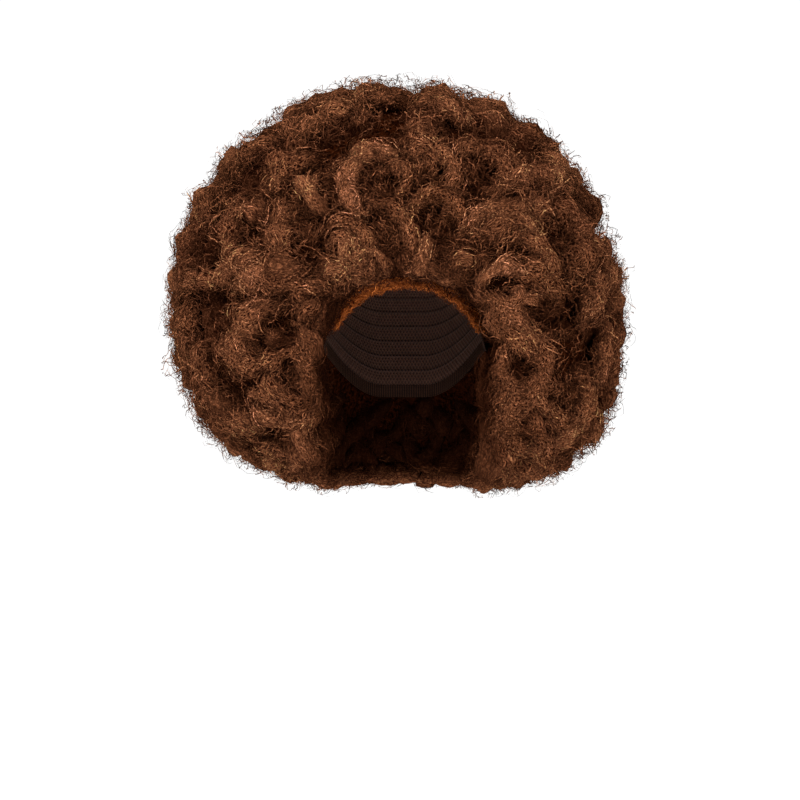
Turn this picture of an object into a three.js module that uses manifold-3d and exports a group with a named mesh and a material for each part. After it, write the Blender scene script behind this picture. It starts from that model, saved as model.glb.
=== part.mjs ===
// A round afro wig: a knitted cap with an elastic band sewn to its edge, and a thick ball of
// curled hair around it, open below for the head and in front for the face.
// Millimetres, +Z up. The origin is the inside of the cap's crown, where the top of the head
// sits. The face looks along -Y, and +X is the viewer's right.

import * as THREE from 'three';
import { mergeVertices } from 'three/addons/utils/BufferGeometryUtils.js';
import Module from 'manifold-3d';

// Driving dimensions: the cap and its band
const HEAD_WIDTH = 156;
const HEAD_DEPTH = 196;
const CROWN_HEIGHT = 95; // from the crown down to the level where the head is widest
const CAP_WALL = 1.5;
const BAND_WALL = 2;
const BAND_HEIGHT = 12;
const SEAM_GAP = 0.3; // between pieces that touch
const EDGE_AT_FOREHEAD = 26; // how far below the crown the cap ends in front
const TEMPLE_FALL = 70; // how much lower it ends at the ears
const NAPE_FALL = 45; // and how much lower again at the nape

// Driving dimensions: the ball of hair
const HAIR_WIDTH = 452;
const HAIR_RISE = 222; // from its widest level up to its top
const HAIR_DROP = 186; // and down to its lower edge
const HAIR_FRONT = 172; // from its middle forward to its front
const HAIR_BACK = 200; // and back
const WIDEST_BELOW_CROWN = 62; // how far its widest level lies below the crown
const SET_BACK = 20; // its middle lies this far behind the head's
const SET_ASIDE = -8; // and to this side
const HAIR_UNDER_LOCKS = 21; // how far the hair between the locks lies under their tops
const SQUARENESS_BELOW = 2.8; // 2 is an ellipse; its lower half is fuller than that

// Driving dimensions: the opening for the face
const FACE_WIDTH = 154;
const FACE_ASIDE = 2;
const HAIRLINE_DROP = 43; // how far the hairline lies below the crown
const HAIRLINE_ARCH = 67; // height of the arch above the upright sides
const FRINGE_LENGTH = 16; // the short hair on the forehead, from its seam to its tips
const FRINGE_THICKNESS = 3;
const FRINGE_TIPS = 9; // it ends in this many small points
const FRINGE_TIP_LENGTH = 7;
const FRINGE_ENDS = 22; // degrees above the level where the arch springs
const FRINGE_LEAST = 0.4; // it thins towards its ends, down to this share
const LIP_WIDTH = 64; // the hair rolls in towards the face over this width
const LIP_SHARE = 0.3; // and loses this share of its thickness there

// Mesh fineness
const CAP_AROUND = 28;
const CAP_RINGS = 6;
const BALL_AROUND = 26;
const BALL_RINGS = 14;
const LOCK_SIDES = 5;
const LOCK_RINGS = 6;
const STEPS_PER_RING = 3; // of the path that a lock follows
const HALVINGS = 24; // when the hair's surface is searched for a point in front
const FRINGE_STEPS = 36;

// The cap's edge drops between these angles, in degrees round the head from the front.
const TEMPLE_DROPS = [25, 85];
const NAPE_DROPS = [95, 165];

// A lock's middle lies one girth under its surface, and deeper at both ends. Depths are in
// girths, and places are shares of its length.
const LOCK_ROOT = { depth: 0.9, ends: 0.25 };
const LOCK_TIP = { depth: 0.7, starts: 0.75 };
const LOCK_FULLNESS = 0.6; // 1 tapers like an egg, and less keeps it thick nearly to its ends

// The locks that show in front. across and up place a lock's root, as shares of half the hair's
// width and of its rise. It runs along heading and turns by turn on its way, in degrees,
// anticlockwise seen from in front. long and girth are shares of half the hair's width.
const FRONT_LOCKS = [
  // across, up, heading, turn, long, girth
  [-0.46, 0.84, -35, -15, 0.32, 0.085],
  [-0.16, 0.88, 200, 40, 0.34, 0.07],
  [-0.34, 0.69, 240, -20, 0.32, 0.07],
  [-0.52, 0.74, 205, 15, 0.26, 0.068],
  [-0.82, 0.56, -50, 10, 0.3, 0.072],
  [-0.7, 0.46, 262, 50, 0.34, 0.07],
  [-0.52, 0.48, -78, 12, 0.4, 0.08],
  [0.0, 0.66, 160, 160, 0.5, 0.06],
  [-0.36, 0.27, 75, -220, 0.5, 0.054],
  [-0.33, 0.05, 95, -260, 0.4, 0.05],
  [-0.18, 0.42, 30, -140, 0.46, 0.054],
  [-0.36, 0.14, 180, 25, 0.46, 0.088],
  [-0.56, 0.22, 190, 40, 0.34, 0.066],
  [0.1, 0.82, -95, 20, 0.32, 0.07],
  [0.07, 0.94, -35, -15, 0.32, 0.068],
  [0.24, 0.6, 75, -190, 0.46, 0.06],
  [0.2, 0.45, 20, 190, 0.44, 0.054],
  [0.06, 0.34, 100, -200, 0.4, 0.052],
  [0.72, 0.68, 203, 12, 0.36, 0.068],
  [0.3, 0.24, 90, -170, 0.5, 0.062],
  [0.36, 0.24, 48, -50, 0.5, 0.088],
  [0.7, 0.49, -25, -120, 0.5, 0.08],
  [0.48, 0.19, -35, 10, 0.36, 0.072],
  [0.93, 0.18, 235, 5, 0.36, 0.076],
  [0.3, 0.94, -40, 0, 0.34, 0.07],
  [0.5, 0.82, -35, 0, 0.36, 0.072],
  [-0.48, 0.02, 190, 85, 0.52, 0.08],
  [-0.77, -0.12, 262, 130, 0.4, 0.052],
  [-0.48, -0.1, -50, -35, 0.4, 0.058],
  [-0.6, -0.33, -60, 10, 0.28, 0.056],
  [-0.69, -0.41, -75, 90, 0.5, 0.06],
  [-0.32, -0.42, 260, 10, 0.34, 0.054],
  [-0.62, -0.66, -30, 50, 0.32, 0.062],
  [-0.84, -0.4, -60, 0, 0.32, 0.07],
  [-0.93, 0.06, 268, 10, 0.34, 0.07],
  [0.34, 0.0, -42, -8, 0.38, 0.064],
  [0.5, -0.08, -10, -190, 0.7, 0.076],
  [0.43, -0.36, 268, 85, 0.42, 0.058],
  [0.56, -0.4, 195, 150, 0.38, 0.052],
  [0.6, -0.38, -60, 60, 0.36, 0.058],
  [0.84, -0.32, -50, -90, 0.34, 0.06],
  [0.42, -0.72, 60, -100, 0.34, 0.068],
  [0.6, -0.62, -35, 0, 0.36, 0.068],
  [0.95, -0.04, 264, -5, 0.36, 0.064],
];

// The locks that the front doesn't show lie evenly over the rest of the ball, and each one's
// way and curl follow from its number.
const LOCKS_ROUND_BALL = 78;
const REST_LOCK = { long: 0.6, girth: 0.1, headingStep: 137, turnStep: 2.4, mostTurn: 150 };
const FRONT_LOOK = -0.34; // locks whose way out points further forward than this are in the table

const wasm = await Module();
wasm.setup();

const headCentreZ = -CROWN_HEIGHT;
const hairCentre = new THREE.Vector3(SET_ASIDE, SET_BACK, -WIDEST_BELOW_CROWN);
const halfWidth = HAIR_WIDTH / 2;
const goldenAngle = Math.PI * (3 - Math.sqrt(5));

function solidOf(geometry) {
  const plain = geometry.index ? geometry.toNonIndexed() : geometry.clone();
  plain.deleteAttribute('normal');
  plain.deleteAttribute('uv');
  const merged = mergeVertices(plain, 1e-3);
  const kept = [];
  for (let i = 0; i < merged.index.count; i += 3) {
    const [a, b, c] = [0, 1, 2].map((k) => merged.index.getX(i + k));
    if (a !== b && b !== c && c !== a) kept.push(a, b, c);
  }
  return new wasm.Manifold(new wasm.Mesh({
    numProp: 3,
    vertProperties: merged.getAttribute('position').array,
    triVerts: new Uint32Array(kept),
  }));
}

function geometryOf(solid) {
  const { vertProperties, triVerts, numProp } = solid.getMesh();
  const flat = new Float32Array(triVerts.length * 3);
  triVerts.forEach((v, i) => flat.set(vertProperties.subarray(v * numProp, v * numProp + 3), i * 3));
  const geometry = new THREE.BufferGeometry();
  geometry.setAttribute('position', new THREE.BufferAttribute(flat, 3));
  geometry.computeVertexNormals();
  return geometry;
}

// How far round the dome, in radians from the crown, the cap's edge lies. The azimuth is 0 in
// front and a half turn at the nape, on either side.
function edgeAngle(azimuth) {
  const round = THREE.MathUtils.radToDeg(Math.acos(Math.cos(azimuth)));
  const { smoothstep } = THREE.MathUtils;
  const drop = EDGE_AT_FOREHEAD
    + TEMPLE_FALL * smoothstep(round, ...TEMPLE_DROPS)
    + NAPE_FALL * smoothstep(round, ...NAPE_DROPS);
  return drop < CROWN_HEIGHT
    ? Math.acos(1 - drop / CROWN_HEIGHT)
    : Math.PI / 2 + (drop - CROWN_HEIGHT) / CROWN_HEIGHT;
}

// A point of the dome over the head: its upper part is half an ellipsoid, and below its widest
// level it runs straight down. share goes from the crown to the cap's edge, and below adds
// millimetres under that edge.
function domePoint(azimuth, { share, below = 0, off }) {
  const fall = share * edgeAngle(azimuth) + below / CROWN_HEIGHT;
  const round = Math.min(fall, Math.PI / 2);
  const straight = fall - round;
  return new THREE.Vector3(
    (HEAD_WIDTH / 2 + off) * Math.sin(round) * Math.sin(azimuth),
    -(HEAD_DEPTH / 2 + off) * Math.sin(round) * Math.cos(azimuth),
    headCentreZ + (CROWN_HEIGHT + off) * Math.cos(round) - CROWN_HEIGHT * straight,
  );
}

// A body of revolution whose every ring is laid on the dome. Its stations are a profile that
// starts and ends on the axis, or closes on itself.
function domeBody(stations) {
  const profile = stations.map((_, i) => new THREE.Vector2(1, i));
  const geometry = new THREE.LatheGeometry(profile, CAP_AROUND);
  const position = geometry.getAttribute('position');
  for (let i = 0; i < position.count; i += 1) {
    const step = Math.floor(i / stations.length) % CAP_AROUND;
    const point = domePoint((step / CAP_AROUND) * 2 * Math.PI, stations[i % stations.length]);
    position.setXYZ(i, point.x, point.y, point.z);
  }
  const solid = solidOf(geometry);
  return solid.volume() > 0 ? solid : solidOf(turnedInsideOut(geometry));
}

function turnedInsideOut(geometry) {
  const turned = geometry.clone();
  turned.setIndex([...geometry.index.array].reverse());
  return turned;
}

function rings(off) {
  return Array.from({ length: CAP_RINGS + 1 }, (_, i) => ({ share: i / CAP_RINGS, off }));
}

function capBody() {
  return domeBody([...rings(CAP_WALL), ...rings(0).reverse()]);
}

function bandBody() {
  const top = { share: 1, below: SEAM_GAP };
  const bottom = { share: 1, below: SEAM_GAP + BAND_HEIGHT };
  return domeBody([
    { ...top, off: 0 }, { ...top, off: BAND_WALL },
    { ...bottom, off: BAND_WALL }, { ...bottom, off: 0 },
    { ...top, off: 0 },
  ]);
}

// The space for the head, the cap and the band, carried on down past the hair's lower edge.
function headHollow() {
  const off = Math.max(CAP_WALL, BAND_WALL) + SEAM_GAP;
  const past = HAIR_DROP + HAIR_RISE;
  return domeBody([
    ...rings(off),
    { share: 1, below: SEAM_GAP + BAND_HEIGHT, off },
    { share: 1, below: past, off },
    { share: 0, below: 0, off: -past },
  ]);
}

// How far outside the face's opening a point seen from in front lies, or under 0 inside it.
function outsideFace(x, z) {
  const aside = (x - FACE_ASIDE) / (FACE_WIDTH / 2);
  const above = Math.max(0, (z + HAIRLINE_DROP + HAIRLINE_ARCH) / HAIRLINE_ARCH);
  const scale = above > 0 ? Math.min(FACE_WIDTH / 2, HAIRLINE_ARCH) : FACE_WIDTH / 2;
  return (Math.hypot(aside, above) - 1) * scale;
}

// How far the tops of the locks lie from the hair's middle, in a direction of length 1.
function hairReach(direction) {
  const deep = direction.y < 0 ? HAIR_FRONT : HAIR_BACK;
  const level = Math.hypot(direction.x / halfWidth, direction.y / deep);
  const upright = Math.abs(direction.z) / (direction.z > 0 ? HAIR_RISE : HAIR_DROP);
  const power = direction.z > 0 ? 2 : SQUARENESS_BELOW;
  const full = (level ** power + upright ** power) ** (-1 / power);
  if (direction.y > 0) return full;
  const outside = outsideFace(
    hairCentre.x + direction.x * full,
    hairCentre.z + direction.z * full,
  );
  const rolled = THREE.MathUtils.clamp(outside / LIP_WIDTH, 0, 1);
  return full * (1 - LIP_SHARE * (1 - Math.sqrt(1 - (1 - rolled) ** 2)));
}

function ballBody() {
  const geometry = new THREE.SphereGeometry(1, BALL_AROUND, BALL_RINGS);
  const position = geometry.getAttribute('position');
  for (let i = 0; i < position.count; i += 1) {
    const way = new THREE.Vector3().fromBufferAttribute(position, i).normalize();
    const point = way.clone().multiplyScalar(hairReach(way) - HAIR_UNDER_LOCKS).add(hairCentre);
    position.setXYZ(i, point.x, point.y, point.z);
  }
  return solidOf(geometry);
}

// The way out from the hair's middle to the point that lies at x and z seen from in front.
function wayToFront(x, z) {
  let near = 0;
  let far = HAIR_FRONT + HAIR_BACK;
  const way = new THREE.Vector3();
  for (let i = 0; i < HALVINGS; i += 1) {
    const middle = (near + far) / 2;
    way.set(x, -middle, z);
    if (way.length() < hairReach(way.clone().normalize())) near = middle;
    else far = middle;
  }
  return way.normalize();
}

// How deep the middle of a lock lies at a share of its length, in girths: its root is sunk in
// the ball, it lies on top for most of its length, and its tip dips.
function depthInGirths(along) {
  return 1 + LOCK_ROOT.depth * (1 - THREE.MathUtils.smoothstep(along, 0, LOCK_ROOT.ends))
    + LOCK_TIP.depth * THREE.MathUtils.smoothstep(along, LOCK_TIP.starts, 1);
}

// A lock is a sphere drawn out along a path that marches over the hair's surface and turns.
function lockBody({ way, heading, turn, long, girth }) {
  const steps = LOCK_RINGS * STEPS_PER_RING;
  const spots = [];
  const out = way.clone();
  const ahead = heading.clone();
  for (let i = 0; i <= steps; i += 1) {
    const reach = hairReach(out) - girth * depthInGirths(i / steps);
    spots.push({ point: out.clone().multiplyScalar(reach).add(hairCentre), out: out.clone() });
    ahead.applyAxisAngle(out, turn / steps);
    out.addScaledVector(ahead, long / steps / hairReach(out)).normalize();
    ahead.addScaledVector(out, -ahead.dot(out)).normalize();
  }
  const geometry = new THREE.SphereGeometry(1, LOCK_SIDES, LOCK_RINGS);
  const position = geometry.getAttribute('position');
  for (let i = 0; i < position.count; i += 1) {
    const [x, y, z] = [position.getX(i), position.getY(i), position.getZ(i)];
    const along = Math.acos(THREE.MathUtils.clamp(y, -1, 1)) / Math.PI;
    const k = Math.round(along * steps);
    const spot = spots[k];
    const next = spots[Math.min(k + 1, steps)].point;
    const last = spots[Math.max(k - 1, 0)].point;
    const tangent = next.clone().sub(last).normalize();
    const side = tangent.clone().cross(spot.out).normalize();
    const up = side.clone().cross(tangent);
    const thick = girth * Math.hypot(x, z) ** LOCK_FULLNESS;
    const angle = Math.atan2(z, x);
    const point = spot.point.clone()
      .addScaledVector(side, thick * Math.cos(angle))
      .addScaledVector(up, thick * Math.sin(angle));
    position.setXYZ(i, point.x, point.y, point.z);
  }
  const solid = solidOf(geometry);
  return solid.volume() > 0 ? solid : solidOf(turnedInsideOut(geometry));
}

// A direction along the surface at way, which lies at an angle anticlockwise from the right.
function headingAt(way, degrees) {
  const up = new THREE.Vector3(0, 0, 1);
  const right = up.clone().cross(way).normalize();
  const rise = way.clone().cross(right).normalize();
  const angle = THREE.MathUtils.degToRad(degrees);
  return right.multiplyScalar(Math.cos(angle)).addScaledVector(rise, Math.sin(angle));
}

function frontLocks() {
  return FRONT_LOCKS.map(([across, up, heading, turn, long, girth]) => {
    const way = wayToFront(across * halfWidth, up * HAIR_RISE);
    return {
      way,
      heading: headingAt(way, heading),
      turn: THREE.MathUtils.degToRad(turn),
      long: long * halfWidth,
      girth: girth * halfWidth,
    };
  });
}

function otherLocks() {
  const locks = [];
  for (let i = 0; i < LOCKS_ROUND_BALL; i += 1) {
    const z = 1 - (2 * (i + 0.5)) / LOCKS_ROUND_BALL;
    const flat = Math.sqrt(1 - z * z);
    const azimuth = i * goldenAngle;
    const way = new THREE.Vector3(flat * Math.sin(azimuth), -flat * Math.cos(azimuth), z);
    if (way.y < FRONT_LOOK) continue;
    const heading = headingAt(way, i * REST_LOCK.headingStep);
    const long = REST_LOCK.long * halfWidth;
    const root = way.clone().addScaledVector(heading, -long / 2 / hairReach(way)).normalize();
    locks.push({
      way: root,
      heading,
      turn: THREE.MathUtils.degToRad(REST_LOCK.mostTurn * Math.sin(i * REST_LOCK.turnStep)),
      long,
      girth: REST_LOCK.girth * halfWidth,
    });
  }
  return locks;
}

// What is cut away in front of the face: a doorway with an arched top.
function faceOpening() {
  const outline = new THREE.Shape();
  const floor = -(WIDEST_BELOW_CROWN + HAIR_DROP + HAIR_RISE);
  const springing = -(HAIRLINE_DROP + HAIRLINE_ARCH);
  outline.moveTo(FACE_ASIDE - FACE_WIDTH / 2, floor);
  outline.lineTo(FACE_ASIDE + FACE_WIDTH / 2, floor);
  outline.lineTo(FACE_ASIDE + FACE_WIDTH / 2, springing);
  outline.absellipse(FACE_ASIDE, springing, FACE_WIDTH / 2, HAIRLINE_ARCH, 0, Math.PI, false, 0);
  outline.lineTo(FACE_ASIDE - FACE_WIDTH / 2, floor);
  const depth = HAIR_FRONT + HAIR_BACK;
  const geometry = new THREE.ExtrudeGeometry(outline, { depth, bevelEnabled: false, curveSegments: 12 });
  geometry.rotateX(Math.PI / 2);
  return solidOf(geometry);
}

// The short hair that lies on the forehead: a strip under the arch, whose back edge follows the
// head and whose front edge ends in small points.
function fringeBody() {
  const rows = [[], [], [], []];
  const first = THREE.MathUtils.degToRad(FRINGE_ENDS);
  for (let i = 0; i <= FRINGE_STEPS; i += 1) {
    const angle = first + (i / FRINGE_STEPS) * (Math.PI - 2 * first);
    const tip = Math.abs(Math.sin((i / FRINGE_STEPS) * FRINGE_TIPS * Math.PI));
    const taper = Math.max(FRINGE_LEAST, Math.sin((i / FRINGE_STEPS) * Math.PI));
    const at = (under) => [
      FACE_ASIDE + (FACE_WIDTH / 2 - under) * Math.cos(angle),
      -(HAIRLINE_DROP + HAIRLINE_ARCH) + (HAIRLINE_ARCH - under) * Math.sin(angle),
    ];
    const outer = at(SEAM_GAP);
    const inner = at(SEAM_GAP + FRINGE_THICKNESS * taper);
    const back = Math.min(headFront(...outer), headFront(...inner)) - SEAM_GAP;
    const front = back - (FRINGE_LENGTH + FRINGE_TIP_LENGTH * tip) * taper;
    rows[0].push([outer[0], back, outer[1]]);
    rows[1].push([inner[0], back, inner[1]]);
    rows[2].push([inner[0], front, inner[1]]);
    rows[3].push([outer[0], front, outer[1]]);
  }
  return strip(rows);
}

// How far forward the cap's and the band's outer face would lie at x and z.
function headFront(x, z) {
  const off = Math.max(CAP_WALL, BAND_WALL);
  const aside = x / (HEAD_WIDTH / 2 + off);
  const above = Math.max(0, z - headCentreZ) / (CROWN_HEIGHT + off);
  return -(HEAD_DEPTH / 2 + off) * Math.sqrt(Math.max(0, 1 - aside ** 2 - above ** 2));
}

// A closed bar whose four long edges are rows of points.
function strip(rows) {
  const length = rows[0].length;
  const points = rows.flat().flat();
  const faces = [];
  for (let row = 0; row < 4; row += 1) {
    const next = (row + 1) % 4;
    for (let i = 0; i + 1 < length; i += 1) {
      const [a, b] = [row * length + i, next * length + i];
      faces.push(a, b, b + 1, a, b + 1, a + 1);
    }
  }
  for (const i of [0, length - 1]) {
    const corners = [0, 1, 2, 3].map((row) => row * length + i);
    if (i === 0) corners.reverse();
    faces.push(corners[0], corners[1], corners[2], corners[0], corners[2], corners[3]);
  }
  const geometry = new THREE.BufferGeometry();
  geometry.setAttribute('position', new THREE.Float32BufferAttribute(points, 3));
  geometry.setIndex(faces);
  const solid = solidOf(geometry);
  return solid.volume() > 0 ? solid : solidOf(turnedInsideOut(geometry));
}

function hairBody() {
  let hair = ballBody();
  for (const lock of [...frontLocks(), ...otherLocks()]) hair = hair.add(lockBody(lock));
  const cut = hair.subtract(headHollow()).subtract(faceOpening());
  const bodies = cut.decompose();
  return bodies.reduce((most, body) => (body.volume() > most.volume() ? body : most));
}

const wig = new THREE.Group();

function addPiece(name, solid, { color, roughness }) {
  const material = new THREE.MeshStandardMaterial({ color, roughness, metalness: 0 });
  const mesh = new THREE.Mesh(geometryOf(solid), material);
  mesh.name = name;
  wig.add(mesh);
}

addPiece('cap', capBody(), { color: 0x1e1512, roughness: 0.9 });
addPiece('edge_band', bandBody(), { color: 0x14100e, roughness: 0.8 });
addPiece('hair', hairBody(), { color: 0x5a321d, roughness: 0.6 });
addPiece('front_fringe', fringeBody(), { color: 0x7a4322, roughness: 0.6 });

export default wig;
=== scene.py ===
# %% [markdown]
# A big round afro wig. A thin net cap sits on the head, and rows of crimped fibre are sewn to it.
# The fibre gathers into fat curls, and the curls pack into a ball. There is no single surface to
# model, so this lesson builds the ball in layers: a dark backing, a roll for each curl, and tens of
# thousands of fine kinked fibres over the rolls. All lengths are in metres.

# %% Load the frame
import math

import bpy
import numpy as np
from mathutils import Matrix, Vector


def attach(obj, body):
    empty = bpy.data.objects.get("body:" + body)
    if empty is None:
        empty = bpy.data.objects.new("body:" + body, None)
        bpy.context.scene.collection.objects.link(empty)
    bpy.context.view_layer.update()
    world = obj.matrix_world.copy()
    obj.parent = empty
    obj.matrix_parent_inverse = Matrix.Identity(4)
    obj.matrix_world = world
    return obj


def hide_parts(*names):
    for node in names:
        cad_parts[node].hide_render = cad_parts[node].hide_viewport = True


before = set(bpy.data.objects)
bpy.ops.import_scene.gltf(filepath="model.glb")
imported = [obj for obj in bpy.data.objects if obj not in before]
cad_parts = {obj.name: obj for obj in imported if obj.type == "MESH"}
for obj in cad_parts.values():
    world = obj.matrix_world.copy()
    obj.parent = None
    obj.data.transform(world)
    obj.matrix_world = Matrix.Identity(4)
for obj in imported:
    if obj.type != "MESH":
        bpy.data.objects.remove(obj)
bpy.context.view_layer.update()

# %% [markdown]
# The camera stands level with the middle of the picture, and far back, as for a portrait. A long
# lens keeps the near locks beside the opening from growing. The view is as wide as the frame is in
# the photograph, measured where the ball of hair is widest.

# %% Camera
CAMERA_DISTANCE = 3.0
PICTURE_WIDTH = 0.778
PICTURE_MIDDLE = (-0.004, 0.02, -0.156)

camera_data = bpy.data.cameras.new("camera")
camera_data.sensor_width = 36
camera_data.lens = camera_data.sensor_width * CAMERA_DISTANCE / PICTURE_WIDTH
camera = bpy.data.objects.new("camera", camera_data)
camera.location = (PICTURE_MIDDLE[0], PICTURE_MIDDLE[1] - CAMERA_DISTANCE, PICTURE_MIDDLE[2])
camera.rotation_euler = (math.radians(90), 0, 0)
bpy.context.scene.collection.objects.link(camera)
bpy.context.scene.camera = camera
print("Lens", round(camera_data.lens), "mm")

# %% [markdown]
# Nodes are wired by two small classes. Net adds a node with its settings and its inputs, and
# Value wraps an output so that sums on it add Math nodes. The same two serve the materials here
# and the geometry trees further down.

# %% Wiring nodes
class Value:
    """An output of a node, which can be used in sums."""

    def __init__(self, net, socket):
        self.net = net
        self.socket = socket

    def __add__(self, other):
        return self.net.math("ADD", self, other)

    def __sub__(self, other):
        return self.net.math("SUBTRACT", self, other)

    def __mul__(self, other):
        return self.net.math("MULTIPLY", self, other)

    def __truediv__(self, other):
        return self.net.math("DIVIDE", self, other)

    def __pow__(self, other):
        return self.net.math("POWER", self, other)

    def __mod__(self, other):
        return self.net.math("MODULO", self, other)

    def __rsub__(self, other):
        return self.net.math("SUBTRACT", other, self)


class Net:
    """A node tree that is being wired."""

    def __init__(self, tree):
        self.tree = tree

    def node(self, kind, settings=None, inputs=None):
        made = self.tree.nodes.new(kind)
        for name, setting in (settings or {}).items():
            setattr(made, name, setting)
        for name, given in (inputs or {}).items():
            if isinstance(name, int):
                socket = made.inputs[name]
            else:
                socket = next(s for s in made.inputs if s.name == name and s.enabled)
            if isinstance(given, Value):
                self.tree.links.new(given.socket, socket)
            else:
                socket.default_value = given
        return made

    def out(self, kind, settings=None, inputs=None, name=None):
        made = self.node(kind, settings, inputs)
        found = next(s for s in made.outputs if s.enabled and name in (None, s.name))
        return Value(self, found)

    def math(self, operation, *terms):
        return self.out("ShaderNodeMath", {"operation": operation}, dict(enumerate(terms)))

    def vector(self, operation, *terms):
        return self.out("ShaderNodeVectorMath", {"operation": operation}, dict(enumerate(terms)))

    def scaled(self, vector, by):
        return self.out("ShaderNodeVectorMath", {"operation": "SCALE"}, {0: vector, "Scale": by})

    def combined(self, x, y, z):
        return self.out("ShaderNodeCombineXYZ", None, {"X": x, "Y": y, "Z": z})

    def split(self, vector):
        parts = self.node("ShaderNodeSeparateXYZ", None, {"Vector": vector})
        return [Value(self, parts.outputs[axis]) for axis in "XYZ"]

    def noise(self, place, scale, detail=2.0, roughness=0.5):
        inputs = {"Vector": place, "Scale": scale, "Detail": detail, "Roughness": roughness}
        return self.out("ShaderNodeTexNoise", None, inputs, "Fac")

    def limited(self, value):
        return self.math("MINIMUM", self.math("MAXIMUM", value, 0.0), 1.0)

    def colour_mix(self, factor, first, second):
        inputs = {"Factor": factor, "A": first, "B": second}
        return self.out("ShaderNodeMix", {"data_type": "RGBA"}, inputs)


def rgb(red, green, blue):
    """A colour from its shares of 255 as a screen shows it."""
    return (*((v / 255) ** 2.2 for v in (red, green, blue)), 1.0)


# %% [markdown]
# The stage is a wide white floor in even white light, so that the wig stands free of any
# background. A large soft light from the upper left shows how round each curl is, a weaker one
# fills from the right, and a third behind the wig picks out the loose ends. The surroundings are
# bright, so that the floor shows plain white, and the hair's finishes are dark enough to keep
# their colour in that light.

# %% Stage
FLOOR_LEVEL = -0.56
FLOOR_RADIUS = 40.0
FLOOR_SIDES = 96
WORLD_STRENGTH = 1.05
LIGHTS = (
    # name, place, size, watts
    ("key", (-1.25, -2.35, 2.1), 0.9, 390),
    ("fill", (2.2, -2.2, 0.5), 1.6, 120),
    ("rim", (0.8, 2.6, 1.6), 1.4, 80),
)


def stage_floor():
    angles = [2 * math.pi * i / FLOOR_SIDES for i in range(FLOOR_SIDES)]
    corners = [(FLOOR_RADIUS * math.cos(a), FLOOR_RADIUS * math.sin(a), FLOOR_LEVEL) for a in angles]
    mesh = bpy.data.meshes.new("floor")
    mesh.from_pydata(corners, [], [list(range(FLOOR_SIDES))])
    floor = bpy.data.objects.new("floor", mesh)
    bpy.context.scene.collection.objects.link(floor)
    material = bpy.data.materials.new("white floor")
    material.use_nodes = True
    shader = material.node_tree.nodes["Principled BSDF"]
    shader.inputs["Base Color"].default_value = (0.97, 0.97, 0.97, 1)
    shader.inputs["Roughness"].default_value = 0.95
    mesh.materials.append(material)


def soft_light(name, place, size, watts):
    data = bpy.data.lights.new(name, "AREA")
    data.shape = "DISK"
    data.size = size
    data.energy = watts
    light = bpy.data.objects.new(name, data)
    light.location = place
    towards = Vector(PICTURE_MIDDLE) - Vector(place)
    light.rotation_euler = towards.to_track_quat("-Z", "Y").to_euler()
    bpy.context.scene.collection.objects.link(light)


stage_floor()
for light_facts in LIGHTS:
    soft_light(*light_facts)
world = bpy.data.worlds.new("white room")
world.use_nodes = True
world.node_tree.nodes["Background"].inputs["Color"].default_value = (1, 1, 1, 1)
world.node_tree.nodes["Background"].inputs["Strength"].default_value = WORLD_STRENGTH
bpy.context.scene.world = world
bpy.context.scene.view_settings.view_transform = "Standard"
print("Stage with", len(LIGHTS), "soft lights")

# %% [markdown]
# The ball of hair is an ellipsoid that is fuller below, and rolls in towards the opening in front.
# It could be sculpted, but a formula is better here, because every lock has to lie on it.
# hair_reach says how far the tops of the locks are from the ball's middle in any direction. The
# sizes are those of the solids, so each lock lands where the solid hair is. Only the fullness
# below differs a little from theirs: the photograph has more of it on the right than on the left.

# %% The ball's form
BALL_MIDDLE = np.array([-0.008, 0.020, -0.062])
HALF_WIDTH = 0.226
RISE = 0.222
DROP = 0.186
FRONT = 0.172
BACK = 0.200
SQUARENESS_BELOW = 2.50
MORE_ON_THE_RIGHT = 1.03
FACE_ASIDE = 0.002
FACE_HALF = 0.077
HAIRLINE_LEVEL = -0.043
HAIRLINE_ARCH = 0.067
SPRINGING = HAIRLINE_LEVEL - HAIRLINE_ARCH
LIP_WIDTH = 0.064
LIP_SHARE = 0.3


def unit(vectors):
    vectors = np.asarray(vectors, float)
    return vectors / np.maximum(np.linalg.norm(vectors, axis=-1, keepdims=True), 1e-9)


def smoothstep(low, high, at):
    t = np.clip((at - low) / (high - low), 0, 1)
    return t * t * (3 - 2 * t)


def outside_face(x, z):
    """How far outside the opening for the face a point is, seen from in front."""
    aside = (x - FACE_ASIDE) / FACE_HALF
    above = np.maximum(0, (z - SPRINGING) / HAIRLINE_ARCH)
    scale = np.where(above > 0, min(FACE_HALF, HAIRLINE_ARCH), FACE_HALF)
    return (np.hypot(aside, above) - 1) * scale


def hair_reach(ways):
    """How far the tops of the locks lie from the ball's middle, along unit vectors."""
    x, y, z = np.moveaxis(np.asarray(ways), -1, 0)
    level = np.hypot(x / HALF_WIDTH, y / np.where(y < 0, FRONT, BACK))
    upright = np.abs(z) / np.where(z > 0, RISE, DROP)
    below = SQUARENESS_BELOW + MORE_ON_THE_RIGHT * smoothstep(0.0, 0.5, x)
    power = np.where(z > 0, 2.0, below)
    full = (level ** power + upright ** power) ** (-1 / power)
    outside = outside_face(BALL_MIDDLE[0] + x * full, BALL_MIDDLE[2] + z * full)
    rolled = np.clip(outside / LIP_WIDTH, 0, 1)
    lip = 1 - LIP_SHARE * (1 - np.sqrt(1 - (1 - rolled) ** 2))
    return np.where(y > 0, full, full * lip)


def way_to_front(x, z):
    """The way out to the point of the ball's front that shows at x and z from its middle."""
    near, far = 0.0, FRONT + BACK
    for _ in range(24):
        middle = (near + far) / 2
        spot = np.array([x, -middle, z])
        if np.linalg.norm(spot) < hair_reach(unit(spot)):
            near = middle
        else:
            far = middle
    return unit([x, -near, z])


print("Reach straight up", round(float(hair_reach([0.0, 0.0, 1.0])), 3))

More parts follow.
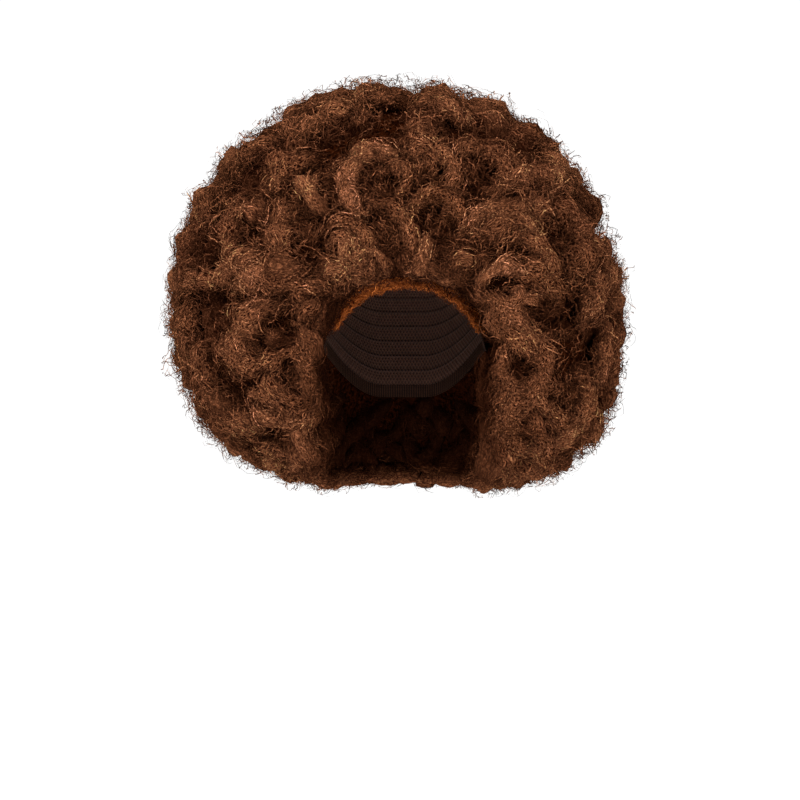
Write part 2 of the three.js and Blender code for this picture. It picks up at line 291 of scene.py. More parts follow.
# %% [markdown]
# The head's form sets the cap, the band and the hollow in the hair. Its upper part is half an
# ellipsoid, and below its widest level it runs straight down. The cap's edge is high at the
# forehead, falls at the temples, and falls again to the nape.

# %% The head's form
HEAD_HALF_WIDTH = 0.078
HEAD_HALF_DEPTH = 0.098
CROWN_HEIGHT = 0.095
CAP_WALL = 0.0015
BAND_WALL = 0.002
BAND_HEIGHT = 0.012
SEAM_GAP = 0.0003
EDGE_AT_FOREHEAD = 0.026
TEMPLE_FALL = 0.070
NAPE_FALL = 0.045


def cap_edge_fall(azimuth):
    """How far round the dome the cap's edge lies, in radians from the crown."""
    round_degrees = np.degrees(np.arccos(np.cos(azimuth)))
    drop = (EDGE_AT_FOREHEAD + TEMPLE_FALL * smoothstep(25, 85, round_degrees)
            + NAPE_FALL * smoothstep(95, 165, round_degrees))
    upper = np.arccos(np.clip(1 - drop / CROWN_HEIGHT, -1, 1))
    return np.where(drop < CROWN_HEIGHT, upper, math.pi / 2 + (drop - CROWN_HEIGHT) / CROWN_HEIGHT)


def dome_point(azimuth, fall, off):
    """A point over the head: azimuth 0 is in front, and fall is in radians from the crown."""
    curved = np.minimum(fall, math.pi / 2)
    straight = fall - curved
    return np.stack([
        (HEAD_HALF_WIDTH + off) * np.sin(curved) * np.sin(azimuth),
        -(HEAD_HALF_DEPTH + off) * np.sin(curved) * np.cos(azimuth),
        -CROWN_HEIGHT + (CROWN_HEIGHT + off) * np.cos(curved) - CROWN_HEIGHT * straight,
    ], axis=-1)


def head_front(x, z, off):
    """How far forward the head's surface, grown by off, lies at x and z."""
    aside = x / (HEAD_HALF_WIDTH + off)
    above = np.maximum(0, z + CROWN_HEIGHT) / (CROWN_HEIGHT + off)
    return -(HEAD_HALF_DEPTH + off) * np.sqrt(np.maximum(0, 1 - aside ** 2 - above ** 2))


print("Cap's edge at the nape", dome_point(math.pi, cap_edge_fall(math.pi), 0).round(3))

# %% [markdown]
# A lock follows a path that marches over the ball and turns on its way, so a few numbers give a
# straight roll, a hook or a ring. The locks that show in front are placed from the photograph, one
# by one, in a table whose columns are shares of the ball's size. Each lock comes out from under
# its neighbours, so its root is sunk, and it ends in a fat round tip.

# %% Locks in front, given one by one
FRONT_LOCKS = (
    # across, up, heading, turn, long, girth
    (-0.46, 0.84, -35, -15, 0.32, 0.085),
    (-0.16, 0.88, 200, 40, 0.34, 0.07),
    (-0.34, 0.69, 240, -20, 0.32, 0.07),
    (-0.52, 0.74, 205, 15, 0.26, 0.068),
    (-0.82, 0.56, -50, 10, 0.3, 0.072),
    (-0.7, 0.46, 262, 50, 0.34, 0.07),
    (-0.52, 0.48, -78, 12, 0.4, 0.08),
    (0.0, 0.66, 160, 160, 0.5, 0.06),
    (-0.36, 0.27, 75, -220, 0.5, 0.054),
    (-0.33, 0.05, 95, -260, 0.4, 0.05),
    (-0.18, 0.42, 30, -140, 0.46, 0.054),
    (-0.36, 0.14, 180, 25, 0.46, 0.088),
    (-0.56, 0.22, 190, 40, 0.34, 0.066),
    (0.1, 0.82, -95, 20, 0.32, 0.07),
    (0.07, 0.94, -35, -15, 0.32, 0.068),
    (0.24, 0.6, 75, -190, 0.46, 0.06),
    (0.2, 0.45, 20, 190, 0.44, 0.054),
    (0.06, 0.34, 100, -200, 0.4, 0.052),
    (0.72, 0.68, 203, 12, 0.36, 0.068),
    (0.3, 0.24, 90, -170, 0.5, 0.062),
    (0.36, 0.24, 48, -50, 0.5, 0.088),
    (0.7, 0.49, -25, -120, 0.5, 0.08),
    (0.48, 0.19, -35, 10, 0.36, 0.072),
    (0.93, 0.18, 235, 5, 0.36, 0.076),
    (0.3, 0.94, -40, 0, 0.34, 0.07),
    (0.5, 0.82, -35, 0, 0.36, 0.072),
    (-0.48, 0.02, 190, 85, 0.52, 0.08),
    (-0.77, -0.12, 262, 130, 0.4, 0.052),
    (-0.48, -0.1, -50, -35, 0.4, 0.058),
    (-0.6, -0.33, -60, 10, 0.28, 0.056),
    (-0.69, -0.41, -75, 90, 0.5, 0.06),
    (-0.32, -0.42, 260, 10, 0.34, 0.054),
    (-0.62, -0.66, -30, 50, 0.32, 0.062),
    (-0.84, -0.4, -60, 0, 0.32, 0.07),
    (-0.93, 0.06, 268, 10, 0.34, 0.07),
    (0.34, 0.0, -42, -8, 0.38, 0.064),
    (0.5, -0.08, -10, -190, 0.7, 0.076),
    (0.43, -0.36, 268, 85, 0.42, 0.058),
    (0.56, -0.4, 195, 150, 0.38, 0.052),
    (0.6, -0.38, -60, 60, 0.36, 0.058),
    (0.84, -0.32, -50, -90, 0.34, 0.06),
    (0.42, -0.72, 60, -100, 0.34, 0.068),
    (0.6, -0.62, -35, 0, 0.36, 0.068),
    (0.95, -0.04, 264, -5, 0.36, 0.064),
    (-0.49, 0.70, -75, 5, 0.26, 0.06),
    (-0.22, 0.64, 45, -80, 0.26, 0.04),
    (-0.07, 0.55, 75, -240, 0.28, 0.04),
    (-0.40, 0.58, -75, 55, 0.28, 0.05),
    (-0.79, 0.56, 250, 10, 0.26, 0.055),
    (-0.31, 0.22, 80, -230, 0.30, 0.042),
    (-0.76, 0.09, 182, 0, 0.28, 0.052),
    (-0.28, 0.04, 176, -5, 0.38, 0.05),
    (0.49, 0.27, 15, -115, 0.34, 0.05),
    (0.42, 0.45, 45, -75, 0.58, 0.056),
    (0.04, 0.24, -100, 30, 0.24, 0.044),
    (0.13, 0.31, -80, -60, 0.28, 0.046),
    (-0.43, -0.13, -75, -30, 0.38, 0.048),
    (-0.28, -0.33, 220, 10, 0.28, 0.048),
    (-0.65, -0.47, 70, -235, 0.34, 0.04),
    (-0.81, -0.45, -60, 0, 0.24, 0.062),
    (-0.51, -0.76, 20, 20, 0.28, 0.056),
    (-0.94, -0.04, 265, 0, 0.28, 0.062),
    (-0.89, -0.18, -75, 0, 0.26, 0.062),
    (0.40, 0.04, -45, -8, 0.34, 0.044),
    (0.56, -0.48, -45, 0, 0.30, 0.052),
    (0.46, -0.72, -40, 0, 0.28, 0.056),
    (0.84, -0.50, 240, 0, 0.26, 0.062),
    (0.77, -0.61, 225, 0, 0.26, 0.062),
    (0.68, -0.70, 220, 0, 0.24, 0.056),
)
PATH_POINTS = 24
WAVES_PER_METRE = 24
ROOT_DEPTH = 1.3
TIP_DEPTH = 0.5
OPENING_ROOM = 0.65
EDGE_WAVE = 0.013


def heading_at(way, degrees):
    """A direction along the surface, anticlockwise from the right as seen from outside."""
    right = unit(np.cross([0.0, 0.0, 1.0], way))
    rise = unit(np.cross(way, right))
    angle = math.radians(degrees)
    return right * math.cos(angle) + rise * math.sin(angle)


def turned(vector, axis, angle):
    return (vector * math.cos(angle) + np.cross(axis, vector) * math.sin(angle)
            + axis * np.dot(axis, vector) * (1 - math.cos(angle)))


def clear_of_openings(points, room):
    """Points moved aside until they are clear of the face's opening and the head's hollow.

    The face's opening gets an uneven edge, which waves in and out by EDGE_WAVE.
    """
    x, y, z = points.T.copy()
    step = 1e-4
    slow_wave, quick_wave = np.sin(z * 120 + 2 * np.sign(x)), np.sin(z * 270 + y * 90)
    ragged = EDGE_WAVE * (1 + 0.6 * slow_wave + 0.4 * quick_wave) / 2
    for _ in range(3):
        outside = outside_face(x, z)
        short = np.where(y < 0.0, np.maximum(0, room + ragged - outside), 0)
        slope_x = (outside_face(x + step, z) - outside) / step
        slope_z = (outside_face(x, z + step) - outside) / step
        steep = np.maximum(np.hypot(slope_x, slope_z), 1e-6)
        x = x + short * slope_x / steep
        z = z + short * slope_z / steep
    off = BAND_WALL + SEAM_GAP + room
    above = np.maximum(0, z + CROWN_HEIGHT) / (CROWN_HEIGHT + off)
    inside = np.hypot(np.hypot(x / (HEAD_HALF_WIDTH + off), y / (HEAD_HALF_DEPTH + off)), above)
    wider = np.where(inside < 1, 1 / np.maximum(inside, 1e-3), 1)
    raised = np.where(above > 0, (z + CROWN_HEIGHT) * wider - CROWN_HEIGHT, z)
    return np.column_stack([x * wider, y * wider, raised])


def lock_over_ball(way, heading, turn, long, girth, sink=0.0, sway=0.0, phase=0.0):
    """A lock's path: its points, and the way out of the hair at each."""
    steps = PATH_POINTS - 1
    out, ahead = way.copy(), heading.copy()
    ways = []
    for step in range(PATH_POINTS):
        ways.append(out)
        swing = sway * math.cos(step * long * WAVES_PER_METRE * 2 * math.pi / steps + phase)
        ahead = turned(ahead, out, (turn + swing) / steps)
        out = unit(out + ahead * long / steps / hair_reach(out))
        ahead = unit(ahead - out * np.dot(ahead, out))
    ways = np.array(ways)
    along = np.linspace(0, 1, PATH_POINTS)
    depth = 1 + ROOT_DEPTH * (1 - smoothstep(0, 0.3, along)) + TIP_DEPTH * smoothstep(0.75, 1, along)
    points = BALL_MIDDLE + ways * (hair_reach(ways) - girth * depth - sink)[:, None]
    clear = clear_of_openings(points, girth * OPENING_ROOM)
    moved = np.linalg.norm(clear - points, axis=1).max()
    return {
        "points": clear, "out": ways, "girth": girth, "long": long, "moved": moved,
        "spindle": 1 - smoothstep(0.8, 2.2, abs(turn)),
    }


def front_locks():
    locks = []
    for across, up, heading, turn, long, girth in FRONT_LOCKS:
        way = way_to_front(across * HALF_WIDTH, up * RISE)
        locks.append(lock_over_ball(
            way, heading_at(way, heading), math.radians(turn), long * HALF_WIDTH, girth * HALF_WIDTH,
        ))
    return locks


placed_locks = front_locks()
print("Locks placed by hand:", len(placed_locks))

# %% [markdown]
# Between the curls the photograph shows dark hollows, where the hair lies deep. They are listed one
# by one too. Whatever is spread over the ball by chance sinks where a hollow is, and all hair in a
# hollow is shaded darker.

# %% Hollows between the curls
HOLLOWS = (
    # across, up, radius
    (-0.50, 0.12, 0.07), (-0.30, 0.41, 0.06), (-0.05, 0.40, 0.06), (-0.50, 0.68, 0.06),
    (-0.36, 0.16, 0.05), (0.20, 0.15, 0.08), (0.03, 0.17, 0.08), (0.40, 0.55, 0.06),
    (0.22, 0.72, 0.05), (0.47, 0.40, 0.05), (-0.85, -0.03, 0.07), (-0.75, -0.47, 0.06),
    (-0.48, -0.62, 0.06), (0.85, -0.22, 0.08), (0.55, -0.58, 0.06), (0.90, 0.30, 0.06),
    (-0.62, 0.50, 0.05), (-0.60, 0.34, 0.05), (0.60, 0.60, 0.05), (0.02, 0.74, 0.05),
    (-0.24, 0.76, 0.05), (-0.86, 0.25, 0.05), (0.40, 0.70, 0.05), (-0.52, -0.22, 0.05),
    (0.62, -0.05, 0.05), (0.34, -0.22, 0.06), (-0.80, -0.30, 0.05), (-0.55, -0.56, 0.04),
)
HOLLOW_DEPTH = 0.018
hollow_ways = np.array([way_to_front(across * HALF_WIDTH, up * RISE) for across, up, _ in HOLLOWS])
hollow_sizes = np.array([radius * HALF_WIDTH for _, _, radius in HOLLOWS])


def in_hollow(ways):
    """1 in the middle of a hollow, and 0 well outside all of them."""
    nearest = np.full(len(ways), 9.0)
    for hollow_way, size in zip(hollow_ways, hollow_sizes):
        away = np.linalg.norm(ways - hollow_way, axis=1) * HALF_WIDTH
        nearest = np.minimum(nearest, away / size)
    return 1 - smoothstep(0.5, 1.5, nearest)


def hollow_at(way):
    """How much deeper the hair lies here because of a hollow."""
    return HOLLOW_DEPTH * float(in_hollow(way[None])[0])


print("Hollows:", len(HOLLOWS))

# %% [markdown]
# The rest of the ball takes its locks from a spiral that spreads points evenly over a sphere. Each
# lock's heading, turn and size come from a seeded generator, so no two are alike and every run
# gives the same wig. Where a lock from the table already lies, a lock of the spiral is sunk, so
# that it only fills the gap. Those that would bridge the opening in front are left out.

# %% Locks over the rest of the ball
BALL_LOCKS = 410
TAKEN_WITHIN = 0.025
FILL_SINK = 0.010
MOST_MOVED = 0.022
LOCK_LONG = (0.055, 0.115)
LOCK_TURN = (30, 200)
MOST_SWAY = 70.0
LOCK_GIRTH = (0.012, 0.020)
LOCK_SINK = (0.0, 0.006)
GOLDEN_TURN = math.pi * (3 - math.sqrt(5))
rng = np.random.default_rng(11)


def spiral_ways(count):
    """Unit vectors spread evenly over a sphere, from the top down."""
    for i in range(count):
        z = 1 - 2 * (i + 0.5) / count
        flat = math.sqrt(1 - z * z)
        yield np.array([flat * math.sin(i * GOLDEN_TURN), -flat * math.cos(i * GOLDEN_TURN), z])


def turn_either_way(least, most):
    """A turn in radians, to the left or to the right, from limits in degrees."""
    return math.radians(rng.choice([-1, 1]) * rng.uniform(least, most))


def spread_locks(taken):
    taken_points = np.concatenate([lock["points"] for lock in taken])
    locks = []
    for way in spiral_ways(BALL_LOCKS):
        heading = heading_at(way, rng.uniform(0, 360))
        turn = turn_either_way(*LOCK_TURN)
        long = rng.uniform(*LOCK_LONG)
        girth = rng.uniform(*LOCK_GIRTH)
        sink = rng.uniform(*LOCK_SINK)
        top = BALL_MIDDLE + way * (hair_reach(way) - girth)
        if np.min(np.linalg.norm(taken_points - top, axis=1)) < TAKEN_WITHIN:
            sink = FILL_SINK + girth * 0.4
        sink += hollow_at(way)
        root = unit(way - heading * long / 2 / hair_reach(way))
        sway, phase = rng.uniform(0, MOST_SWAY) * long, rng.uniform(0, 6)
        lock = lock_over_ball(root, heading, turn, long, girth, sink, sway, phase)
        if lock["moved"] < MOST_MOVED:
            locks.append(lock)
    return locks


ball_locks = spread_locks(placed_locks)
print("Locks from the spiral:", len(ball_locks))

# %% [markdown]
# Curls alone would look like knitting, with a clean groove beside each. In real frizz, hair that
# belongs to no one curl crosses those grooves. It gets short thin paths of its own, spread like
# the locks, which rise from between the curls to the surface. They carry fibres but no rolls, and
# their fibres are shaded darker than a curl's, so that they don't glare over the gaps.

# %% Frizz between the locks
FRIZZ_PATHS = 2700
FRIZZ_LONG = (0.018, 0.045)
FRIZZ_GIRTH = 0.004
FRIZZ_TURN_SPREAD = 1.5
FRIZZ_SINK = (-0.001, 0.007)
FRIZZ_CROWD = 0.36
FRIZZ_SHADE = 0.70


def frizz_between():
    locks = []
    for way in spiral_ways(FRIZZ_PATHS):
        heading = heading_at(way, rng.uniform(0, 360))
        turn, long = rng.normal(0, FRIZZ_TURN_SPREAD), rng.uniform(*FRIZZ_LONG)
        sink = rng.uniform(*FRIZZ_SINK) + hollow_at(way)
        lock = lock_over_ball(way, heading, turn, long, FRIZZ_GIRTH, sink)
        if lock["moved"] < FRIZZ_GIRTH:
            locks.append({**lock, "crowd": FRIZZ_CROWD})
    return locks


frizz = frizz_between()
print("Paths of frizz:", len(frizz))

# %% [markdown]
# Small tight curls crowd the edge of the opening in front, from the ends of the hair up both sides
# and over the forehead. They hide where the ball rolls in, so they are placed along that edge. More
# of them hang round the rim of the neck's hollow below.

# %% Small curls at the opening's edge
EDGE_CURLS = 64
EDGE_SIDE = 0.122
EDGE_OFF = (0.003, 0.019)
EDGE_LONG = (0.032, 0.060)
EDGE_GIRTH = (0.0065, 0.0105)
EDGE_TURN = (60, 260)
EDGE_SINK = (-0.001, 0.003)
UNDER_CURLS = 76
UNDER_AZIMUTHS = (52, 308)
UNDER_OFF = (0.006, 0.030)
UNDER_LEVEL = -0.236
NAPE_HALF_TURN = 32
NAPE_OFF = 0.009


def edge_curls():
    arch = math.pi * (FACE_HALF + HAIRLINE_ARCH) / 2
    locks = []
    for i in range(EDGE_CURLS):
        at = (2 * EDGE_SIDE + arch) * (i + 0.5) / EDGE_CURLS - EDGE_SIDE
        angle = math.pi * min(max(at / arch, 0), 1)
        below = max(0, -at, at - arch)
        off = rng.uniform(*EDGE_OFF)
        x = FACE_ASIDE + (FACE_HALF + off) * math.cos(angle)
        z = SPRINGING + (HAIRLINE_ARCH + off) * math.sin(angle) - below
        way = way_to_front(x - BALL_MIDDLE[0], z - BALL_MIDDLE[2])
        heading = heading_at(way, math.degrees(angle) + rng.choice([90, 270]) + rng.uniform(-60, 60))
        turn = turn_either_way(*EDGE_TURN)
        long, girth = rng.uniform(*EDGE_LONG), rng.uniform(*EDGE_GIRTH)
        sink = rng.uniform(*EDGE_SINK) + hollow_at(way)
        locks.append(lock_over_ball(way, heading, turn, long, girth, sink))
    return locks


def under_curls():
    """Small curls round the rim of the neck's hollow below. At the nape they keep close to it."""
    locks = []
    for azimuth in np.radians(np.linspace(*UNDER_AZIMUTHS, UNDER_CURLS)):
        at_nape = math.degrees(abs(azimuth - math.pi)) < NAPE_HALF_TURN
        off = NAPE_OFF if at_nape else rng.uniform(*UNDER_OFF)
        spot = dome_point(azimuth, math.pi / 2, off)
        spot[2] = UNDER_LEVEL
        way = unit(spot - BALL_MIDDLE)
        heading = heading_at(way, rng.uniform(0, 360))
        turn = turn_either_way(*EDGE_TURN)
        long, girth = rng.uniform(*EDGE_LONG), rng.uniform(*EDGE_GIRTH)
        locks.append(lock_over_ball(way, heading, turn, long, girth, rng.uniform(*EDGE_SINK)))
    return locks


small_locks = edge_curls() + under_curls()
print("Small curls at the edges:", len(small_locks))

# %% [markdown]
# Locks also line the walls that the hollow and the opening leave: round the neck below the cap,
# beside the opening, and over the arch of the hairline. Their outer side is the one that looks
# into the hollow. They are short and sway a little, so that the wall looks as loose as the rest.

# %% Locks round the openings
NECK_LOCKS = 26
NECK_AZIMUTHS = (58, 302)
NECK_TOP = -0.112
NAPE_TOP = -0.150
BOTTOM = -0.230
LINING_GIRTH = 0.0125
LINING_VARIES = (0.8, 1.15)
ROWS_APART = 0.012
CHEEK_DEPTHS = (-0.040, -0.062, -0.084)
CHEEK_LEVELS = (-0.106, -0.142, -0.178)
CHEEK_DROP = 0.040
ARCH_DEPTHS = (-0.088, -0.100)
ARCH_LOCKS = 6
ARCH_SPAN = 42
ARCH_VARIES = (0.7, 0.95)


def lining_lock(points, out, girth):
    points, out = np.array(points), unit(out)
    return {"points": points, "out": out, "girth": girth, "long": 0.05, "spindle": 0}


def neck_locks():
    locks = []
    for azimuth in np.linspace(*NECK_AZIMUTHS, NECK_LOCKS):
        behind = smoothstep(90, 150, min(azimuth, 360 - azimuth))
        top = NECK_TOP + (NAPE_TOP - NECK_TOP) * behind + rng.uniform(-0.006, 0.004)
        middle = (top + BOTTOM) / 2
        for first, last in ((top, middle - ROWS_APART / 2), (middle + ROWS_APART / 2, BOTTOM)):
            sway, phase = rng.uniform(4, 10), rng.uniform(0, 6)
            girth = LINING_GIRTH * rng.uniform(*LINING_VARIES)
            last += rng.uniform(-0.008, 0.002)
            points, out = [], []
            for t in np.linspace(0, 1, PATH_POINTS):
                turn = math.radians(azimuth + sway * math.sin(math.pi * t * 1.2 + phase))
                level = np.array([math.sin(turn), -math.cos(turn), 0.0])
                room = BAND_WALL + SEAM_GAP + girth * (1 + 0.5 * math.sin(4 * t + phase) ** 2)
                points.append([
                    level[0] * (HEAD_HALF_WIDTH + room),
                    level[1] * (HEAD_HALF_DEPTH + room),
                    first + (last - first) * t,
                ])
                out.append(-level)
            locks.append(lining_lock(points, out, girth))
    return locks


def cheek_locks():
    locks = []
    for side in (-1, 1):
        for depth in CHEEK_DEPTHS:
            for level in CHEEK_LEVELS:
                sway, phase = rng.uniform(0.004, 0.009), rng.uniform(0, 6)
                girth = LINING_GIRTH * rng.uniform(*LINING_VARIES)
                points, out = [], []
                for t in np.linspace(0, 1, PATH_POINTS):
                    away = girth * (1.0 + 0.9 * math.sin(3 * t + phase) ** 2)
                    points.append([
                        FACE_ASIDE + side * (FACE_HALF + away),
                        depth + sway * math.sin(4 * t + phase),
                        level - CHEEK_DROP * t,
                    ])
                    out.append([-side, 0.0, 0.0])
                locks.append(lining_lock(points, out, girth))
    return locks


def arch_locks():
    locks = []
    for row, depth in enumerate(ARCH_DEPTHS):
        for span in range(ARCH_LOCKS):
            first = 180 * (span + 0.25 * row) / ARCH_LOCKS
            phase = rng.uniform(0, 6)
            girth = LINING_GIRTH * rng.uniform(*ARCH_VARIES)
            points, out = [], []
            for t in np.linspace(0, 1, PATH_POINTS):
                angle = math.radians(first + ARCH_SPAN * t)
                away = girth * (1.0 + 0.5 * math.sin(3 * t + phase) ** 2)
                points.append([
                    FACE_ASIDE + (FACE_HALF + away) * math.cos(angle),
                    depth + 0.004 * math.sin(4 * t + phase),
                    SPRINGING + (HAIRLINE_ARCH + away) * math.sin(angle),
                ])
                out.append([-math.cos(angle), 0.0, -math.sin(angle)])
            locks.append(lining_lock(points, out, girth))
    return locks


lining_locks = neck_locks() + cheek_locks() + arch_locks()
print("Locks round the openings:", len(lining_locks))

# %% [markdown]
# Hair deep in the ball gets little light and looks nearly black, and hair on top shows its full
# colour. Each lock and fibre carries that as an attribute called shade, worked out from how far
# it lies under the ball's surface, and a tone that differs from lock to lock. Shade is lower in
# the hollows too, in the roll of hair above the arch, and beside the opening in front, where the
# dark strip is wider on the left, as in the photograph, except low down.

# %% Shade and tone
LIT_DEPTH = 0.002
DARK_DEPTH = 0.023
EDGE_DARK = 0.024
EDGE_LEAST = 0.22
MORE_DARK_LEFT = 0.030
LEFT_DARK_DOWN_TO = -0.190
LEFT_DARK_FADE = 0.030
ARCH_DARK = 0.32
ARCH_DARK_FROM = (0.006, 0.014)
ARCH_DARK_TO = (0.020, 0.032)
HOLLOW_DARK = 0.65
BULGE = 0.20


def shade_at(points):
    """1 at the ball's surface, and less deep down and next to the opening in front."""
    away = points - BALL_MIDDLE
    distance = np.linalg.norm(away, axis=1)
    depth = hair_reach(unit(away)) - distance
    outside = outside_face(points[:, 0], points[:, 2])
    front = points[:, 1] < 0
    beside = smoothstep(SPRINGING + 0.03, SPRINGING, points[:, 2]) * front
    high = smoothstep(LEFT_DARK_DOWN_TO, LEFT_DARK_DOWN_TO + LEFT_DARK_FADE, points[:, 2])
    dark_width = EDGE_DARK + MORE_DARK_LEFT * high * (points[:, 0] < 0)
    clear = 1 - beside * (1 - smoothstep(0.0, dark_width, outside))
    over = smoothstep(*ARCH_DARK_FROM, outside) * (1 - smoothstep(*ARCH_DARK_TO, outside)) * front
    lit = (1 - smoothstep(LIT_DEPTH, DARK_DEPTH, depth)) * (1 - ARCH_DARK * over * (1 - beside))
    return lit * (EDGE_LEAST + (1 - EDGE_LEAST) * clear) * (1 - HOLLOW_DARK * in_hollow(unit(away)))


def girth_along(lock):
    """A lock's thickness along its path. Hooks keep theirs, and straight locks are spindles."""
    t = np.linspace(0, 1, PATH_POINTS)
    end = np.clip(lock["girth"] / lock["long"], 0.08, 0.45)
    root_cap = np.sqrt(1 - (1 - np.clip(t / end, 0.002, 1)) ** 2)
    tip_cap = np.sqrt(1 - (1 - np.clip((1 - t) / end, 0.002, 1)) ** 2)
    bulges = 1 + BULGE * np.sin(t * lock["long"] * 200 + lock["tone"] * 20)
    hook = 0.72 + 0.28 * smoothstep(0, 0.6, t)
    spindle = 0.55 + 0.5 * np.sin(math.pi * t ** 0.85)
    form = hook + (spindle - hook) * lock["spindle"]
    return lock["girth"] * form * bulges * root_cap * tip_cap


all_locks = placed_locks + ball_locks + small_locks + lining_locks
for lock in all_locks + frizz:
    lock["tone"] = rng.uniform(0, 0.4 if "crowd" in lock else 1)
    lock["widths"] = girth_along(lock)
print("Locks in all:", len(all_locks))

# %% [markdown]
# Under the fibres each lock is a closed roll: rings of points along the path, joined by faces. Its
# UV map runs along and round the roll in centimetres, so that the fibre grain of its material
# follows the curl. Soft lumps and three ridges that wind round the roll keep it from looking like
# a pipe.

# %% Rolls
ROLL_SIDES = 9
ROLL_RINGS = 12
RIDGES = 3
RIDGE_DEPTH = 0.10
LUMP_DEPTH = 0.17
ROLL_SHARE = 0.80
ROLL_WIND = 2.5
LUMP_WAVES = rng.normal(0, 1, (6, 3)) * 150
LUMP_PHASES = rng.uniform(0, 6, 6)


def lumps(points):
    """A smooth uneven value between about -1 and 1, with waves of a few centimetres."""
    return np.sin(points @ LUMP_WAVES.T + LUMP_PHASES).sum(axis=-1) / 2.5


def roll_parts(lock):
    """One roll: its corners, its faces by their numbers, and the UV of each face corner."""
    pick = np.linspace(0, PATH_POINTS - 1, ROLL_RINGS).round().astype(int)
    centres, out = lock["points"][pick], lock["out"][pick]
    tangent = unit(np.gradient(centres, axis=0))
    side = unit(np.cross(tangent, out))
    up = np.cross(side, tangent)
    angles = np.linspace(-math.pi, math.pi, ROLL_SIDES, endpoint=False)
    wind = np.linspace(0, ROLL_WIND, ROLL_RINGS) + lock["tone"] * 6
    upward, sideways = np.cos(angles)[None, :, None], np.sin(angles)[None, :, None]
    across = upward * up[:, None, :] + sideways * side[:, None, :]
    widths = lock["widths"][pick][:, None] * ROLL_SHARE
    full = centres[:, None, :] + across * widths[:, :, None]
    swell = 1 + RIDGE_DEPTH * np.sin(RIDGES * angles[None, :] + wind[:, None]) + LUMP_DEPTH * lumps(full)
    corners = centres[:, None, :] + across * (widths * swell)[:, :, None]
    length = np.concatenate([[0], np.cumsum(np.linalg.norm(np.diff(centres, axis=0), axis=1))]) * 100
    faces, uvs = [], []
    round_cm = 2 * math.pi * lock["girth"] * 100 / ROLL_SIDES
    start_cm = lock["tone"] * 50
    for ring in range(ROLL_RINGS - 1):
        near, far = start_cm + length[ring], start_cm + length[ring + 1]
        for step in range(ROLL_SIDES):
            a, b = ring * ROLL_SIDES + step, ring * ROLL_SIDES + (step + 1) % ROLL_SIDES
            faces.append((a, a + ROLL_SIDES, b + ROLL_SIDES, b))
            uvs += [
                (near, step * round_cm), (far, step * round_cm),
                (far, (step + 1) * round_cm), (near, (step + 1) * round_cm),
            ]
    return corners.reshape(-1, 3), faces, uvs


def write_attribute(mesh, name, kind, values):
    layer = mesh.attributes.new(name, kind, "POINT")
    field = {"FLOAT": "value", "INT": "value", "FLOAT_VECTOR": "vector"}[kind]
    layer.data.foreach_set(field, np.ascontiguousarray(values).ravel())


def placed_piece(name, mesh, material):
    """A mesh as an object in the scene, smooth and with its finish."""
    mesh.polygons.foreach_set("use_smooth", [True] * len(mesh.polygons))
    if material:
        mesh.materials.append(material)
    piece = bpy.data.objects.new(name, mesh)
    bpy.context.scene.collection.objects.link(piece)
    return piece


def rolls_piece(name, locks, material):
    corners, faces, uvs, tones = [], [], [], []
    start = 0
    for lock in locks:
        own_corners, own_faces, own_uvs = roll_parts(lock)
        corners.append(own_corners)
        faces += [tuple(start + v for v in face) for face in own_faces]
        uvs += own_uvs
        tones.append(np.full(len(own_corners), lock["tone"]))
        start += len(own_corners)
    corners = np.concatenate(corners)
    mesh = bpy.data.meshes.new(name)
    mesh.from_pydata(corners.tolist(), [], faces)
    mesh.uv_layers.new(name="grain").data.foreach_set("uv", np.array(uvs, np.float32).ravel())
    write_attribute(mesh, "tone", "FLOAT", np.concatenate(tones))
    write_attribute(mesh, "shade", "FLOAT", shade_at(corners))
    return placed_piece(name, mesh, material)


# %% [markdown]
# Seen from a little way off, crimped fibre is a tweed of short light flecks on a nearly black
# ground. On the rolls, the flecks come from noise drawn out along the roll and bent by a short
# wave, which is the crimp. On the fibres, a noise of the same size breaks each one up into light
# and dark bits: painted glints where its kinks catch the light. The shade attribute darkens what
# lies deep, as painted shade. None of these finishes has any gloss: in such white surroundings it
# would lay a grey veil on the thin fibres, so the lightest browns carry a painted sheen instead.

# %% Hair finishes
DEEP_BROWN = rgb(22, 11, 7)
CHESTNUT = rgb(87, 54, 37)
# The two lightest browns are a little paler and greyer than the fibre: a painted sheen.
AUBURN = rgb(131, 85, 64)
GOLDEN = rgb(122, 97, 62)
# Near-black browns for the backing: painted shade on the hair that lies deep.
BACKING_SHADE_DARK = rgb(10, 5, 3)
BACKING_SHADE_LIGHT = rgb(44, 22, 12)
FRINGE_DARK = rgb(68, 33, 16)
FRINGE_BROWN = rgb(122, 66, 33)
FRINGE_ORANGE = rgb(190, 108, 58)
GLINT_SCALE = 520.0


def new_material(name):
    material = bpy.data.materials.new(name)
    material.use_nodes = True
    material.node_tree.nodes.clear()
    return material, Net(material.node_tree)


def finish_material(net, inputs):
    shader = net.out("ShaderNodeBsdfPrincipled", None, inputs)
    net.node("ShaderNodeOutputMaterial", None, {"Surface": shader})


def attribute(net, name):
    return net.out("ShaderNodeAttribute", {"attribute_name": name}, None, "Fac")


def auburn_or_golden(net):
    """The lightest hair, with a painted sheen, redder in some places and more golden in others."""
    place = net.out("ShaderNodeTexCoord", None, None, "Object")
    patch = net.limited(net.noise(place, 26.0, 1.0) * 4.0 - 1.5)
    return net.colour_mix(patch, AUBURN, GOLDEN)


def three_way(net, factor, dark, middle, bright):
    """A colour that goes from dark through middle to bright."""
    low = net.colour_mix(net.limited(factor * 2.0), dark, middle)
    return net.colour_mix(net.limited(factor * 2.0 - 1.0), low, bright)


